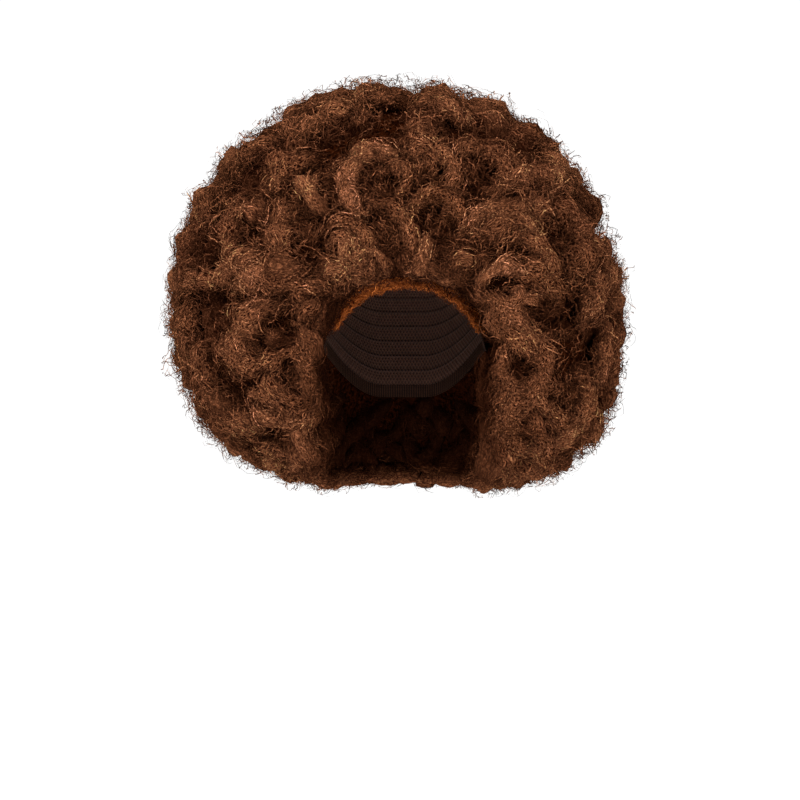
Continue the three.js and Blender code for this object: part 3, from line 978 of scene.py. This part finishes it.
def roll_material():
    material, net = new_material("hair rolls")
    grain = net.out("ShaderNodeUVMap", {"uv_map": "grain"})
    along, around, _ = net.split(grain)
    sway = net.noise(grain, 1.3, 1.0)
    kink = net.math("SINE", along * 13.0 + sway * 14.0) * 0.06 + sway * 0.5
    streak = net.noise(net.combined(along * 3.2, (around + kink) * 7.5, 0.0), 1.0, 2.0, 0.6)
    clump = net.noise(net.combined(along * 0.6, (around + kink) * 1.8, 4.0), 1.4)
    fleck = net.limited((streak - 0.42) * 4.0)
    light = fleck * (clump * 1.2 + 0.05) + (attribute(net, "tone") - 0.5) * 0.2
    shade = attribute(net, "shade") * 0.92 + 0.08
    colour = three_way(net, net.limited(light * shade), DEEP_BROWN, CHESTNUT, auburn_or_golden(net))
    bump = net.out("ShaderNodeBump", None, {"Strength": 1.0, "Distance": 0.002, "Height": streak})
    finish_material(net, {
        "Base Color": colour, "Roughness": 0.8, "Normal": bump, "Specular IOR Level": 0.0,
    })
    return material


def fibre_material(name, dark, middle, bright=None):
    material, net = new_material(name)
    bright = bright or auburn_or_golden(net)
    place = net.out("ShaderNodeTexCoord", None, None, "Object")
    # Painted glints: bits of each fibre are lighter, where its kinks catch the light.
    fleck = net.limited((net.noise(place, GLINT_SCALE, 1.0) - 0.45) * 6.0)
    shade = attribute(net, "shade") * 0.92 + 0.08
    # The tone on fibres also carries the painted shade of loose fibres.
    light = net.limited(attribute(net, "tone") * (fleck * 0.8 + 0.2) * shade)
    colour = three_way(net, light, dark, middle, bright)
    finish_material(net, {"Base Color": colour, "Roughness": 0.7, "Specular IOR Level": 0.0})
    return material


def backing_material():
    material, net = new_material("hair backing")
    place = net.out("ShaderNodeTexCoord", None, None, "Object")
    tufts = net.noise(place, 300.0, 3.0, 0.7)
    # Painted shade: the backing is near black, broken up by tufts.
    colour = net.colour_mix(net.limited(tufts * 3.0 - 1.2), BACKING_SHADE_DARK, BACKING_SHADE_LIGHT)
    bump = net.out("ShaderNodeBump", None, {"Strength": 1.0, "Distance": 0.004, "Height": tufts})
    finish_material(net, {
        "Base Color": colour, "Roughness": 0.95, "Normal": bump, "Specular IOR Level": 0.0,
    })
    return material


roll_finish = roll_material()
backing_finish = backing_material()
fibre_finish = fibre_material("hair fibres", DEEP_BROWN, CHESTNUT)
fringe_finish = fibre_material("fringe fibres", FRINGE_DARK, FRINGE_BROWN, FRINGE_ORANGE)
print("Hair finishes made")

# %% [markdown]
# All the rolls go into one mesh. They lie in each other like curls that are pressed together, and
# the joints don't show under the fibres, so nothing is gained by melting them into one skin.

# %% Make the rolls
hair_rolls = rolls_piece("hair_rolls", all_locks, roll_finish)
print("Rolls:", len(hair_rolls.data.polygons) * 2, "triangles")

# %% [markdown]
# Behind the rolls lies the hair that is too deep to see as curls. It is one dark body, whose
# near-black colour is painted shade: a ball somewhat smaller than the hair, from which the head's
# hollow and the opening in front are cut with Boolean modifiers. A shell made point by point would
# need its own rules at every edge, and the cuts give those edges at once. Below, the backing comes
# nearer to the surface, so that no light shows between the locks at the nape.

# %% Backing
BACKING_DEPTH = 0.030
BACKING_DEPTH_BELOW = 0.010
BACKING_SIDES = 64
BACKING_ROWS = 40
LINING_ROOM = 0.013
LINED_UP_TO = (-0.165, -0.128)
NECK_LEVELS = (-0.168, -0.150, -0.128)
CUT_DOWN_TO = -0.40
CUT_FORWARD_TO = -0.35


def grid_faces(rows, columns):
    """Faces of a grid whose rows are rings, in order from the first row to the last."""
    faces = []
    for row in range(rows - 1):
        for column in range(columns):
            a, b = row * columns + column, row * columns + (column + 1) % columns
            faces.append((a, b, b + columns, a + columns))
    return faces


def closed_rings(name, rings):
    """A closed body from rings of points: the first and last ring are filled."""
    rings = np.array(rings)
    rows, columns = rings.shape[:2]
    faces = grid_faces(rows, columns)
    faces.append(tuple(reversed(range(columns))))
    faces.append(tuple(range((rows - 1) * columns, rows * columns)))
    mesh = bpy.data.meshes.new(name)
    mesh.from_pydata(rings.reshape(-1, 3).tolist(), [], faces)
    body = bpy.data.objects.new(name, mesh)
    bpy.context.scene.collection.objects.link(body)
    return body


def backing_ball():
    azimuths = np.linspace(0, 2 * math.pi, BACKING_SIDES, endpoint=False)
    rings = []
    for fall in np.linspace(math.pi - 0.03, 0.03, BACKING_ROWS):
        ways = np.stack([
            math.sin(fall) * np.sin(azimuths), -math.sin(fall) * np.cos(azimuths),
            np.full(BACKING_SIDES, math.cos(fall)),
        ], axis=-1)
        low = smoothstep(0.6, 0.95, -math.cos(fall))
        depth = BACKING_DEPTH + (BACKING_DEPTH_BELOW - BACKING_DEPTH) * low
        rings.append(BALL_MIDDLE + ways * (hair_reach(ways) - depth)[:, None])
    return closed_rings("hair_backing", rings)


def hollow_for_head():
    azimuths = np.linspace(0, 2 * math.pi, BACKING_SIDES, endpoint=False)
    off = BAND_WALL + SEAM_GAP
    rings = []
    for level in (CUT_DOWN_TO, *NECK_LEVELS):
        room = off + LINING_ROOM * (1 - smoothstep(*LINED_UP_TO, level))
        ring = dome_point(azimuths, np.full(BACKING_SIDES, math.pi / 2), room)
        ring[:, 2] = level
        rings.append(ring)
    for fall in np.linspace(math.pi / 2, 0.05, 16):
        rings.append(dome_point(azimuths, np.full(BACKING_SIDES, fall), off))
    return closed_rings("hollow", rings)


def opening_for_face():
    turns = np.radians(np.linspace(0, 180, 32))
    x = FACE_ASIDE + (FACE_HALF + LINING_ROOM) * np.cos(turns)
    z = SPRINGING + (HAIRLINE_ARCH + LINING_ROOM) * np.sin(turns)
    x = np.concatenate([[x[0]], x, [x[-1]]])
    z = np.concatenate([[CUT_DOWN_TO], z, [CUT_DOWN_TO]])
    rings = [np.stack([x, np.full(len(x), y), z], axis=-1) for y in (0.0, CUT_FORWARD_TO)]
    return closed_rings("opening", rings)


def cut_away(body, cutters):
    for cutter in cutters:
        modifier = body.modifiers.new("cut", "BOOLEAN")
        modifier.operation = "DIFFERENCE"
        modifier.solver = "EXACT"
        modifier.object = cutter
    evaluated = body.evaluated_get(bpy.context.evaluated_depsgraph_get())
    mesh = bpy.data.meshes.new_from_object(evaluated)
    for old in (body, *cutters):
        bpy.data.objects.remove(old)
    return mesh


backing_mesh = cut_away(backing_ball(), [hollow_for_head(), opening_for_face()])
hair_backing = placed_piece("hair_backing", backing_mesh, backing_finish)
print("Backing:", len(backing_mesh.polygons), "faces")

# %% [markdown]
# Fine fibres are what make the curls look like hair. One Geometry Nodes tree makes them all: it
# copies each lock's path many times, cuts a short stretch out of each copy, moves it to the
# outside of the roll, kinks it and turns it into a thin tapered ribbon. Ribbons take two triangles
# a step, where round threads would take twelve.

# %% The fibre tree
FIBRE_INPUTS = (
    ("Fibre length", "NodeSocketFloat"),
    ("Steps", "NodeSocketInt"),
    ("Width", "NodeSocketFloat"),
    ("Crimp", "NodeSocketFloat"),
    ("Lift", "NodeSocketFloat"),
    ("Spread", "NodeSocketFloat"),
    ("Wind", "NodeSocketFloat"),
    ("Seed", "NodeSocketInt"),
    ("Material", "NodeSocketMaterial"),
)


def named(net, name, kind="FLOAT"):
    settings = {"data_type": kind}
    return net.out("GeometryNodeInputNamedAttribute", settings, {"Name": name}, "Attribute")


def stored(net, geometry, name, value, domain, kind="FLOAT"):
    settings = {"data_type": kind, "domain": domain}
    inputs = {"Geometry": geometry, "Name": name, "Value": value}
    return net.out("GeometryNodeStoreNamedAttribute", settings, inputs)


def fibre_tree():
    tree = bpy.data.node_groups.new("fibres along paths", "GeometryNodeTree")
    tree.interface.new_socket("Geometry", in_out="INPUT", socket_type="NodeSocketGeometry")
    for name, kind in FIBRE_INPUTS:
        tree.interface.new_socket(name, in_out="INPUT", socket_type=kind)
    tree.interface.new_socket("Geometry", in_out="OUTPUT", socket_type="NodeSocketGeometry")
    net = Net(tree)
    group = net.node("NodeGroupInput")
    given = {socket.name: Value(net, socket) for socket in group.outputs if socket.name}

    def chance(low, high, number):
        inputs = {"Min": low, "Max": high, "Seed": given["Seed"] + number}
        return net.out("FunctionNodeRandomValue", {"data_type": "FLOAT"}, inputs, "Value")

    curve = net.out("GeometryNodeMeshToCurve", None, {"Mesh": given["Geometry"]})
    copies = {"Geometry": curve, "Amount": named(net, "fibres", "INT")}
    curve = net.out("GeometryNodeDuplicateElements", {"domain": "SPLINE"}, copies, "Geometry")
    length = net.out("GeometryNodeSplineLength", None, None, "Length")
    share = given["Fibre length"] * chance(0.6, 1.4, 1) / length
    curve = stored(net, curve, "share", share, "CURVE")
    curve = stored(net, curve, "middle", chance(0.05, 1.0, 2), "CURVE")
    curve = stored(net, curve, "angle", chance(-1.0, 1.0, 3) * given["Spread"], "CURVE")
    curve = stored(net, curve, "lifted", chance(0.0, 1.0, 4), "CURVE")
    curve = stored(net, curve, "snug", chance(0.74, 1.40, 5), "CURVE")
    curve = stored(net, curve, "wind", chance(-1.0, 1.0, 6) * given["Wind"], "CURVE")
    curve = stored(net, curve, "tilt", chance(-0.9, 0.9, 7), "CURVE")
    tone_and_loose_shade = named(net, "tone") * 0.35 + chance(0.25, 1.0, 8) * 0.75
    # Painted shade: fibres that lift off a roll are made darker, so that they don't glare over the gaps.
    tone_and_loose_shade = tone_and_loose_shade * (1.05 - named(net, "lifted") ** 2.0 * 0.45)
    curve = stored(net, curve, "tone", tone_and_loose_shade, "CURVE")
    curve = stored(net, curve, "kink", chance(0.4, 1.4, 9), "CURVE")
    curve = stored(net, curve, "loose", chance(0.0, 1.0, 12), "CURVE")

    half = named(net, "share") * 0.5
    start = net.math("MAXIMUM", named(net, "middle") - half, 0.0)
    end = net.math("MINIMUM", named(net, "middle") + half, 1.0)
    curve = net.out("GeometryNodeTrimCurve", {"mode": "FACTOR"}, {"Curve": curve, 2: start, 3: end})
    curve = net.out("GeometryNodeResampleCurve", None, {"Curve": curve, "Count": given["Steps"]})

    place = net.node("GeometryNodeSplineParameter")
    factor, number = Value(net, place.outputs["Factor"]), Value(net, place.outputs["Index"])
    tangent = net.out("GeometryNodeInputTangent")
    out = named(net, "out", "FLOAT_VECTOR")
    side = net.vector("NORMALIZE", net.vector("CROSS_PRODUCT", tangent, out))
    up = net.vector("CROSS_PRODUCT", side, tangent)
    angle = named(net, "angle") + named(net, "wind") * (factor - 0.5)
    cosine, sine = net.math("COSINE", angle), net.math("SINE", angle)
    radial = net.vector("ADD", net.scaled(up, cosine), net.scaled(side, sine))
    around = net.vector("SUBTRACT", net.scaled(side, cosine), net.scaled(up, sine))
    tilt = named(net, "tilt")
    facing = net.vector(
        "ADD", net.scaled(radial, net.math("COSINE", tilt)), net.scaled(around, net.math("SINE", tilt)),
    )
    curve = stored(net, curve, "facing", facing, "POINT", "FLOAT_VECTOR")
    bulge = net.math("SINE", factor * math.pi)
    lift = named(net, "lifted") ** 3.0 * given["Lift"]
    away = named(net, "girth") * named(net, "snug") + lift * bulge
    crimp = given["Crimp"] * named(net, "kink")
    zigzag = (1.0 - (number % 2.0) * 2.0) * crimp
    meander = net.math("SINE", factor * 7.0 + named(net, "loose") * 20.0) * crimp * 1.1
    offset = net.vector(
        "ADD",
        net.scaled(radial, away + chance(-1.0, 1.0, 10) * crimp * 0.8),
        net.scaled(around, zigzag + meander + chance(-1.0, 1.0, 11) * crimp * 0.7),
    )
    offset = net.vector("ADD", offset, net.scaled(tangent, chance(-1.0, 1.0, 13) * crimp * 0.9))
    # Painted shade: fibres round the sides and underside of a roll are darker than those on top.
    darker = named(net, "shade") * (cosine * 0.45 + 0.55)
    curve = stored(net, curve, "shade", darker, "POINT")
    curve = net.out("GeometryNodeSetPosition", None, {"Geometry": curve, "Offset": offset})
    facing_now = named(net, "facing", "FLOAT_VECTOR")
    curve = net.out("GeometryNodeSetCurveNormal", {"mode": "FREE"}, {"Curve": curve, "Normal": facing_now})
    middle_off = net.math("ABSOLUTE", factor * 2.0 - 1.0)
    taper = (1.0 - middle_off ** 3.0 * 0.75) * (1.3 - named(net, "lifted") * 0.8)
    edge = net.combined(0.0, given["Width"] * 0.5, 0.0)
    other_edge = net.combined(0.0, given["Width"] * -0.5, 0.0)
    profile = net.out("GeometryNodeCurvePrimitiveLine", None, {"Start": edge, "End": other_edge})
    ribbons = net.out(
        "GeometryNodeCurveToMesh", None, {"Curve": curve, "Profile Curve": profile, "Scale": taper},
    )
    ribbons = net.out("GeometryNodeSetShadeSmooth", None, {"Geometry": ribbons})
    ribbons = net.out("GeometryNodeRealizeInstances", None, {"Geometry": ribbons})
    ribbons = net.out(
        "GeometryNodeSetMaterial", None, {"Geometry": ribbons, "Material": given["Material"]},
    )
    net.node("NodeGroupOutput", None, {"Geometry": ribbons})
    return tree


fibres_along_paths = fibre_tree()
print("Fibre tree:", len(fibres_along_paths.nodes), "nodes")

# %% [markdown]
# The paths go into the tree as a mesh of bare edges that carries the girth, the way out, the shade
# and the number of fibres. The result is turned into a plain mesh, and only the attributes that
# the material reads are kept.

# %% Making fibres
KEPT_ATTRIBUTES = {"tone", "shade"}


def paths_mesh(name, locks, density, least=4):
    """All paths as one mesh of edges. density is the number of fibres for each square metre."""
    points = np.concatenate([lock["points"] for lock in locks])
    starts = np.arange(len(locks)) * PATH_POINTS
    steps = np.arange(PATH_POINTS - 1)
    edges = (starts[:, None, None] + steps[None, :, None] + np.array([0, 1])).reshape(-1, 2)
    mesh = bpy.data.meshes.new(name)
    mesh.from_pydata(points.tolist(), edges.tolist(), [])
    counts = []
    for lock in locks:
        long = np.linalg.norm(np.diff(lock["points"], axis=0), axis=1).sum()
        crowd = density * lock.get("crowd", 1)
        counts.append(max(least, round(crowd * long * lock["girth"])))
    tones = [lock["tone"] for lock in locks]
    write_attribute(mesh, "out", "FLOAT_VECTOR", np.concatenate([lock["out"] for lock in locks]))
    write_attribute(mesh, "girth", "FLOAT", np.concatenate([lock["widths"] for lock in locks]))
    write_attribute(mesh, "shade", "FLOAT", np.concatenate([lock["shades"] for lock in locks]))
    write_attribute(mesh, "tone", "FLOAT", np.repeat(tones, PATH_POINTS))
    write_attribute(mesh, "fibres", "INT", np.repeat(counts, PATH_POINTS).astype(np.int32))
    return mesh


def fibres_piece(name, paths, settings):
    """Runs the fibre tree on paths, and keeps the result as a plain mesh."""
    carrier = bpy.data.objects.new(name + "_paths", paths)
    bpy.context.scene.collection.objects.link(carrier)
    modifier = carrier.modifiers.new("fibres", "NODES")
    modifier.node_group = fibres_along_paths
    for item in fibres_along_paths.interface.items_tree:
        if item.in_out == "INPUT" and item.name in settings:
            modifier[item.identifier] = settings[item.name]
    evaluated = carrier.evaluated_get(bpy.context.evaluated_depsgraph_get())
    mesh = bpy.data.meshes.new_from_object(evaluated)
    bpy.data.objects.remove(carrier)
    for layer in [a.name for a in mesh.attributes if a.domain == "POINT" and not a.is_required]:
        if layer not in KEPT_ATTRIBUTES and not layer.startswith("."):
            mesh.attributes.remove(mesh.attributes[layer])
    mesh.name = name
    piece = bpy.data.objects.new(name, mesh)
    bpy.context.scene.collection.objects.link(piece)
    print(name, "has", len(mesh.polygons) * 2, "triangles")
    return piece


# %% [markdown]
# The ball is made in seven regions, so that no one mesh grows too heavy. The front gets the most
# fibres, because that is where the wig is looked at. A small share of the fibres lift off the
# rolls in loose arcs, which gives the ball its fuzzy outline.

# %% Fibres over the ball
HAIR_FIBRE = {
    "Fibre length": 0.0108, "Steps": 6, "Width": 0.0009, "Crimp": 0.0009, "Lift": 0.0038,
    "Spread": 2.1, "Wind": 1.0, "Material": fibre_finish,
}
DENSITY = {
    "front_top": 142000, "front_left": 142000, "front_right": 142000,
    "crown": 88000, "back": 52000, "left": 104000, "right": 104000,
}


def region(lock):
    """Which part of the ball a lock is in."""
    middle = unit(lock["points"][PATH_POINTS // 2] - BALL_MIDDLE)
    if middle[1] < -0.25:
        if middle[2] > 0.4:
            return "front_top"
        return "front_left" if middle[0] < 0 else "front_right"
    if middle[2] > 0.5:
        return "crown"
    if middle[1] > 0.35:
        return "back"
    return "left" if middle[0] < 0 else "right"


for lock in all_locks + frizz:
    top = lock["points"] + lock["out"] * lock["girth"]
    lock["shades"] = shade_at(top) * (FRIZZ_SHADE if "crowd" in lock else 1)
hair_fibres = []
for seed, (part_name, density) in enumerate(DENSITY.items()):
    part_locks = [lock for lock in all_locks + frizz if region(lock) == part_name]
    paths = paths_mesh(part_name, part_locks, density)
    hair_fibres.append(fibres_piece("hair_fibres_" + part_name, paths, {**HAIR_FIBRE, "Seed": seed * 100}))

# %% [markdown]
# A wig's hairline is softened by short fine fibres in a lighter orange-brown. They are rooted
# where the cap's front edge lies on the forehead, run forward under the arch, and curl up into the
# locks. Near its ends the fringe runs straight forward, so that no thread strays into the opening.
# The same tree makes it from many short paths, a few fibres to each.

# %% Front fringe
FRINGE_ENDS = 20
FRINGE_PATHS = 150
FRINGE_EACH = 9
FRINGE_LONG = (0.013, 0.021)
FRINGE_LEAN = 1.3
FRINGE_GIRTH = 0.0016
FRINGE_FIBRE = {
    "Fibre length": 0.015, "Steps": 7, "Width": 0.0007, "Crimp": 0.0012, "Lift": 0.005,
    "Spread": 3.0, "Wind": 1.2, "Seed": 7, "Material": fringe_finish,
}


def fringe_paths():
    locks = []
    for i in range(FRINGE_PATHS):
        angle = math.radians(FRINGE_ENDS + (180 - 2 * FRINGE_ENDS) * (i + 0.5) / FRINGE_PATHS)
        long = rng.uniform(*FRINGE_LONG)
        lean = rng.uniform(-FRINGE_LEAN, FRINGE_LEAN)
        points, out = [], []
        for t in np.linspace(0, 1, PATH_POINTS):
            under = 0.003 + 0.004 * math.sin(math.pi * min(1, t * 1.3)) - 0.007 * t * t
            turn = angle + lean * math.sin(angle) ** 2 * t * long / FACE_HALF * 4
            x = FACE_ASIDE + (FACE_HALF - under) * math.cos(turn)
            z = SPRINGING + (HAIRLINE_ARCH - under) * math.sin(turn)
            back = head_front(x, z, BAND_WALL) - SEAM_GAP
            points.append([x, back - long * t, z])
            out.append([-math.cos(turn), 0.0, -math.sin(turn)])
        lock = lining_lock(points, out, FRINGE_GIRTH)
        lock["tone"] = rng.uniform(0.2, 1)
        lock["widths"] = np.full(PATH_POINTS, FRINGE_GIRTH)
        lock["shades"] = np.full(PATH_POINTS, 1.0)
        locks.append(lock)
    return locks


front_fringe = fibres_piece(
    "front_fringe_fibres", paths_mesh("fringe", fringe_paths(), 0, FRINGE_EACH), FRINGE_FIBRE,
)

# %% [markdown]
# The cap is a thin knitted net, drawn over the dome of the head. It is made as two smooth skins
# joined at the edge. The elastic band is sewn on under it: a flat ribbed tape, whose ribs are real
# waves in its mesh, because it shows edge on in the opening.

# %% Cap and band
CAP_AROUND = 120
CAP_RINGS = 30
CAP_WEAVE = 0.15
BAND_ROWS = 12
BAND_RIBS = 4
RIB_DEPTH = 0.0003
NET_DARK = rgb(16, 10, 8)
NET_LIGHT = rgb(58, 38, 29)
ELASTIC_LIGHT = rgb(54, 36, 27)


def skin_piece(name, rings, material, uvs, joined):
    """Rings as a closed mesh: the last one joins the first, or else both are filled."""
    rings = np.array(rings)
    rows, columns = rings.shape[:2]
    faces, corner_uvs = [], []
    for row in range(rows if joined else rows - 1):
        here, beyond = row * columns, (row + 1) % rows * columns
        for column in range(columns):
            after = (column + 1) % columns
            faces.append((here + column, beyond + column, beyond + after, here + after))
            low, high = uvs[row], uvs[row + 1]
            u0, u1 = column / columns, (column + 1) / columns
            corner_uvs += [(u0, low), (u0, high), (u1, high), (u1, low)]
    if not joined:
        faces.append(tuple(range(columns)))
        faces.append(tuple(reversed(range((rows - 1) * columns, rows * columns))))
        corner_uvs += [(0.5, uvs[0])] * (2 * columns)
    mesh = bpy.data.meshes.new(name)
    mesh.from_pydata(rings.reshape(-1, 3).tolist(), [], faces)
    mesh.uv_layers.new(name="weave").data.foreach_set("uv", np.array(corner_uvs, np.float32).ravel())
    return placed_piece(name, mesh, material)


def cap_material():
    material, net = new_material("cap net")
    around, down, _ = net.split(net.out("ShaderNodeUVMap", {"uv_map": "weave"}))
    first = net.math("SINE", (around * 150.0 + down * 220.0) * math.pi)
    second = net.math("SINE", (around * 150.0 - down * 220.0) * math.pi)
    thread = net.math("MAXIMUM", net.math("ABSOLUTE", first), net.math("ABSOLUTE", second)) ** 3.0
    weft = net.limited(1.0 - net.math("ABSOLUTE", (down * 90.0) % 1.0 - 0.5) * 7.0)
    fuzz = net.noise(net.out("ShaderNodeTexCoord", None, None, "Object"), 400.0, 2.0)
    tint = net.limited(thread * 0.55 + fuzz * 0.3 - weft * 0.2)
    colour = net.colour_mix(tint, NET_DARK, NET_LIGHT)
    bump = net.out(
        "ShaderNodeBump", None, {"Strength": 0.8, "Distance": 0.001, "Height": thread + weft * 2.0},
    )
    finish_material(net, {
        "Base Color": colour, "Roughness": 0.85, "Normal": bump, "Specular IOR Level": 0.1,
    })
    return material


def band_material():
    material, net = new_material("ribbed elastic")
    around, down, _ = net.split(net.out("ShaderNodeUVMap", {"uv_map": "weave"}))
    stitch = net.math("SINE", around * 420.0 * math.pi) * 0.5 + 0.5
    row = net.math("SINE", down * 24.0 * math.pi) * 0.5 + 0.5
    colour = net.colour_mix(net.limited(stitch * row), NET_DARK, ELASTIC_LIGHT)
    bump = net.out("ShaderNodeBump", None, {"Strength": 0.6, "Distance": 0.0005, "Height": stitch * row})
    finish_material(net, {
        "Base Color": colour, "Roughness": 0.75, "Normal": bump, "Specular IOR Level": 0.03,
    })
    return material


def cap_piece():
    azimuths = np.linspace(0, 2 * math.pi, CAP_AROUND, endpoint=False)
    edge = cap_edge_fall(azimuths)
    shares = np.linspace(0.012, 1, CAP_RINGS)
    outer = [dome_point(azimuths, share * edge, CAP_WALL) for share in shares]
    inner = [dome_point(azimuths, share * edge, 0.0) for share in reversed(shares)]
    down = shares * CAP_WEAVE
    uvs = [*down, *reversed(down), down[0]]
    return skin_piece("cap_net", outer + inner, cap_material(), uvs, False)


def band_piece():
    azimuths = np.linspace(0, 2 * math.pi, CAP_AROUND * 2, endpoint=False)
    edge = cap_edge_fall(azimuths)
    down = np.linspace(SEAM_GAP, SEAM_GAP + BAND_HEIGHT, BAND_ROWS)
    ribs = RIB_DEPTH * np.cos(np.linspace(0, BAND_RIBS * 2 * math.pi, BAND_ROWS))
    falls = [edge + d / CROWN_HEIGHT for d in down]
    outer = [dome_point(azimuths, fall, BAND_WALL - RIB_DEPTH + rib) for fall, rib in zip(falls, ribs)]
    inner = [dome_point(azimuths, fall, RIB_DEPTH - rib) for fall, rib in zip(falls[::-1], ribs[::-1])]
    shares = np.linspace(0, 1, BAND_ROWS)
    uvs = [*shares, *shares[::-1], shares[0]]
    return skin_piece("edge_band_elastic", outer + inner, band_material(), uvs, True)


cap_net = cap_piece()
edge_band_elastic = band_piece()
print("Cap and band made")

# %% [markdown]
# Each piece rides on the one body that the wig has, and stands for the solid that it replaces.

# %% Hand the pieces to the frame
PIECES = [
    (hair_backing, "hair", "hair_fibre"), (hair_rolls, "hair", "hair_fibre"),
    *((piece, "hair", "hair_fibre") for piece in hair_fibres),
    (front_fringe, "front_fringe", "fringe_fibre"),
    (cap_net, "cap", "cap_net"), (edge_band_elastic, "edge_band", "elastic"),
]
for piece, solid, slot in PIECES:
    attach(piece, "root")
    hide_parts(solid)

print("Triangles in all:", sum(len(piece.data.polygons) * 2 for piece, _, _ in PIECES))
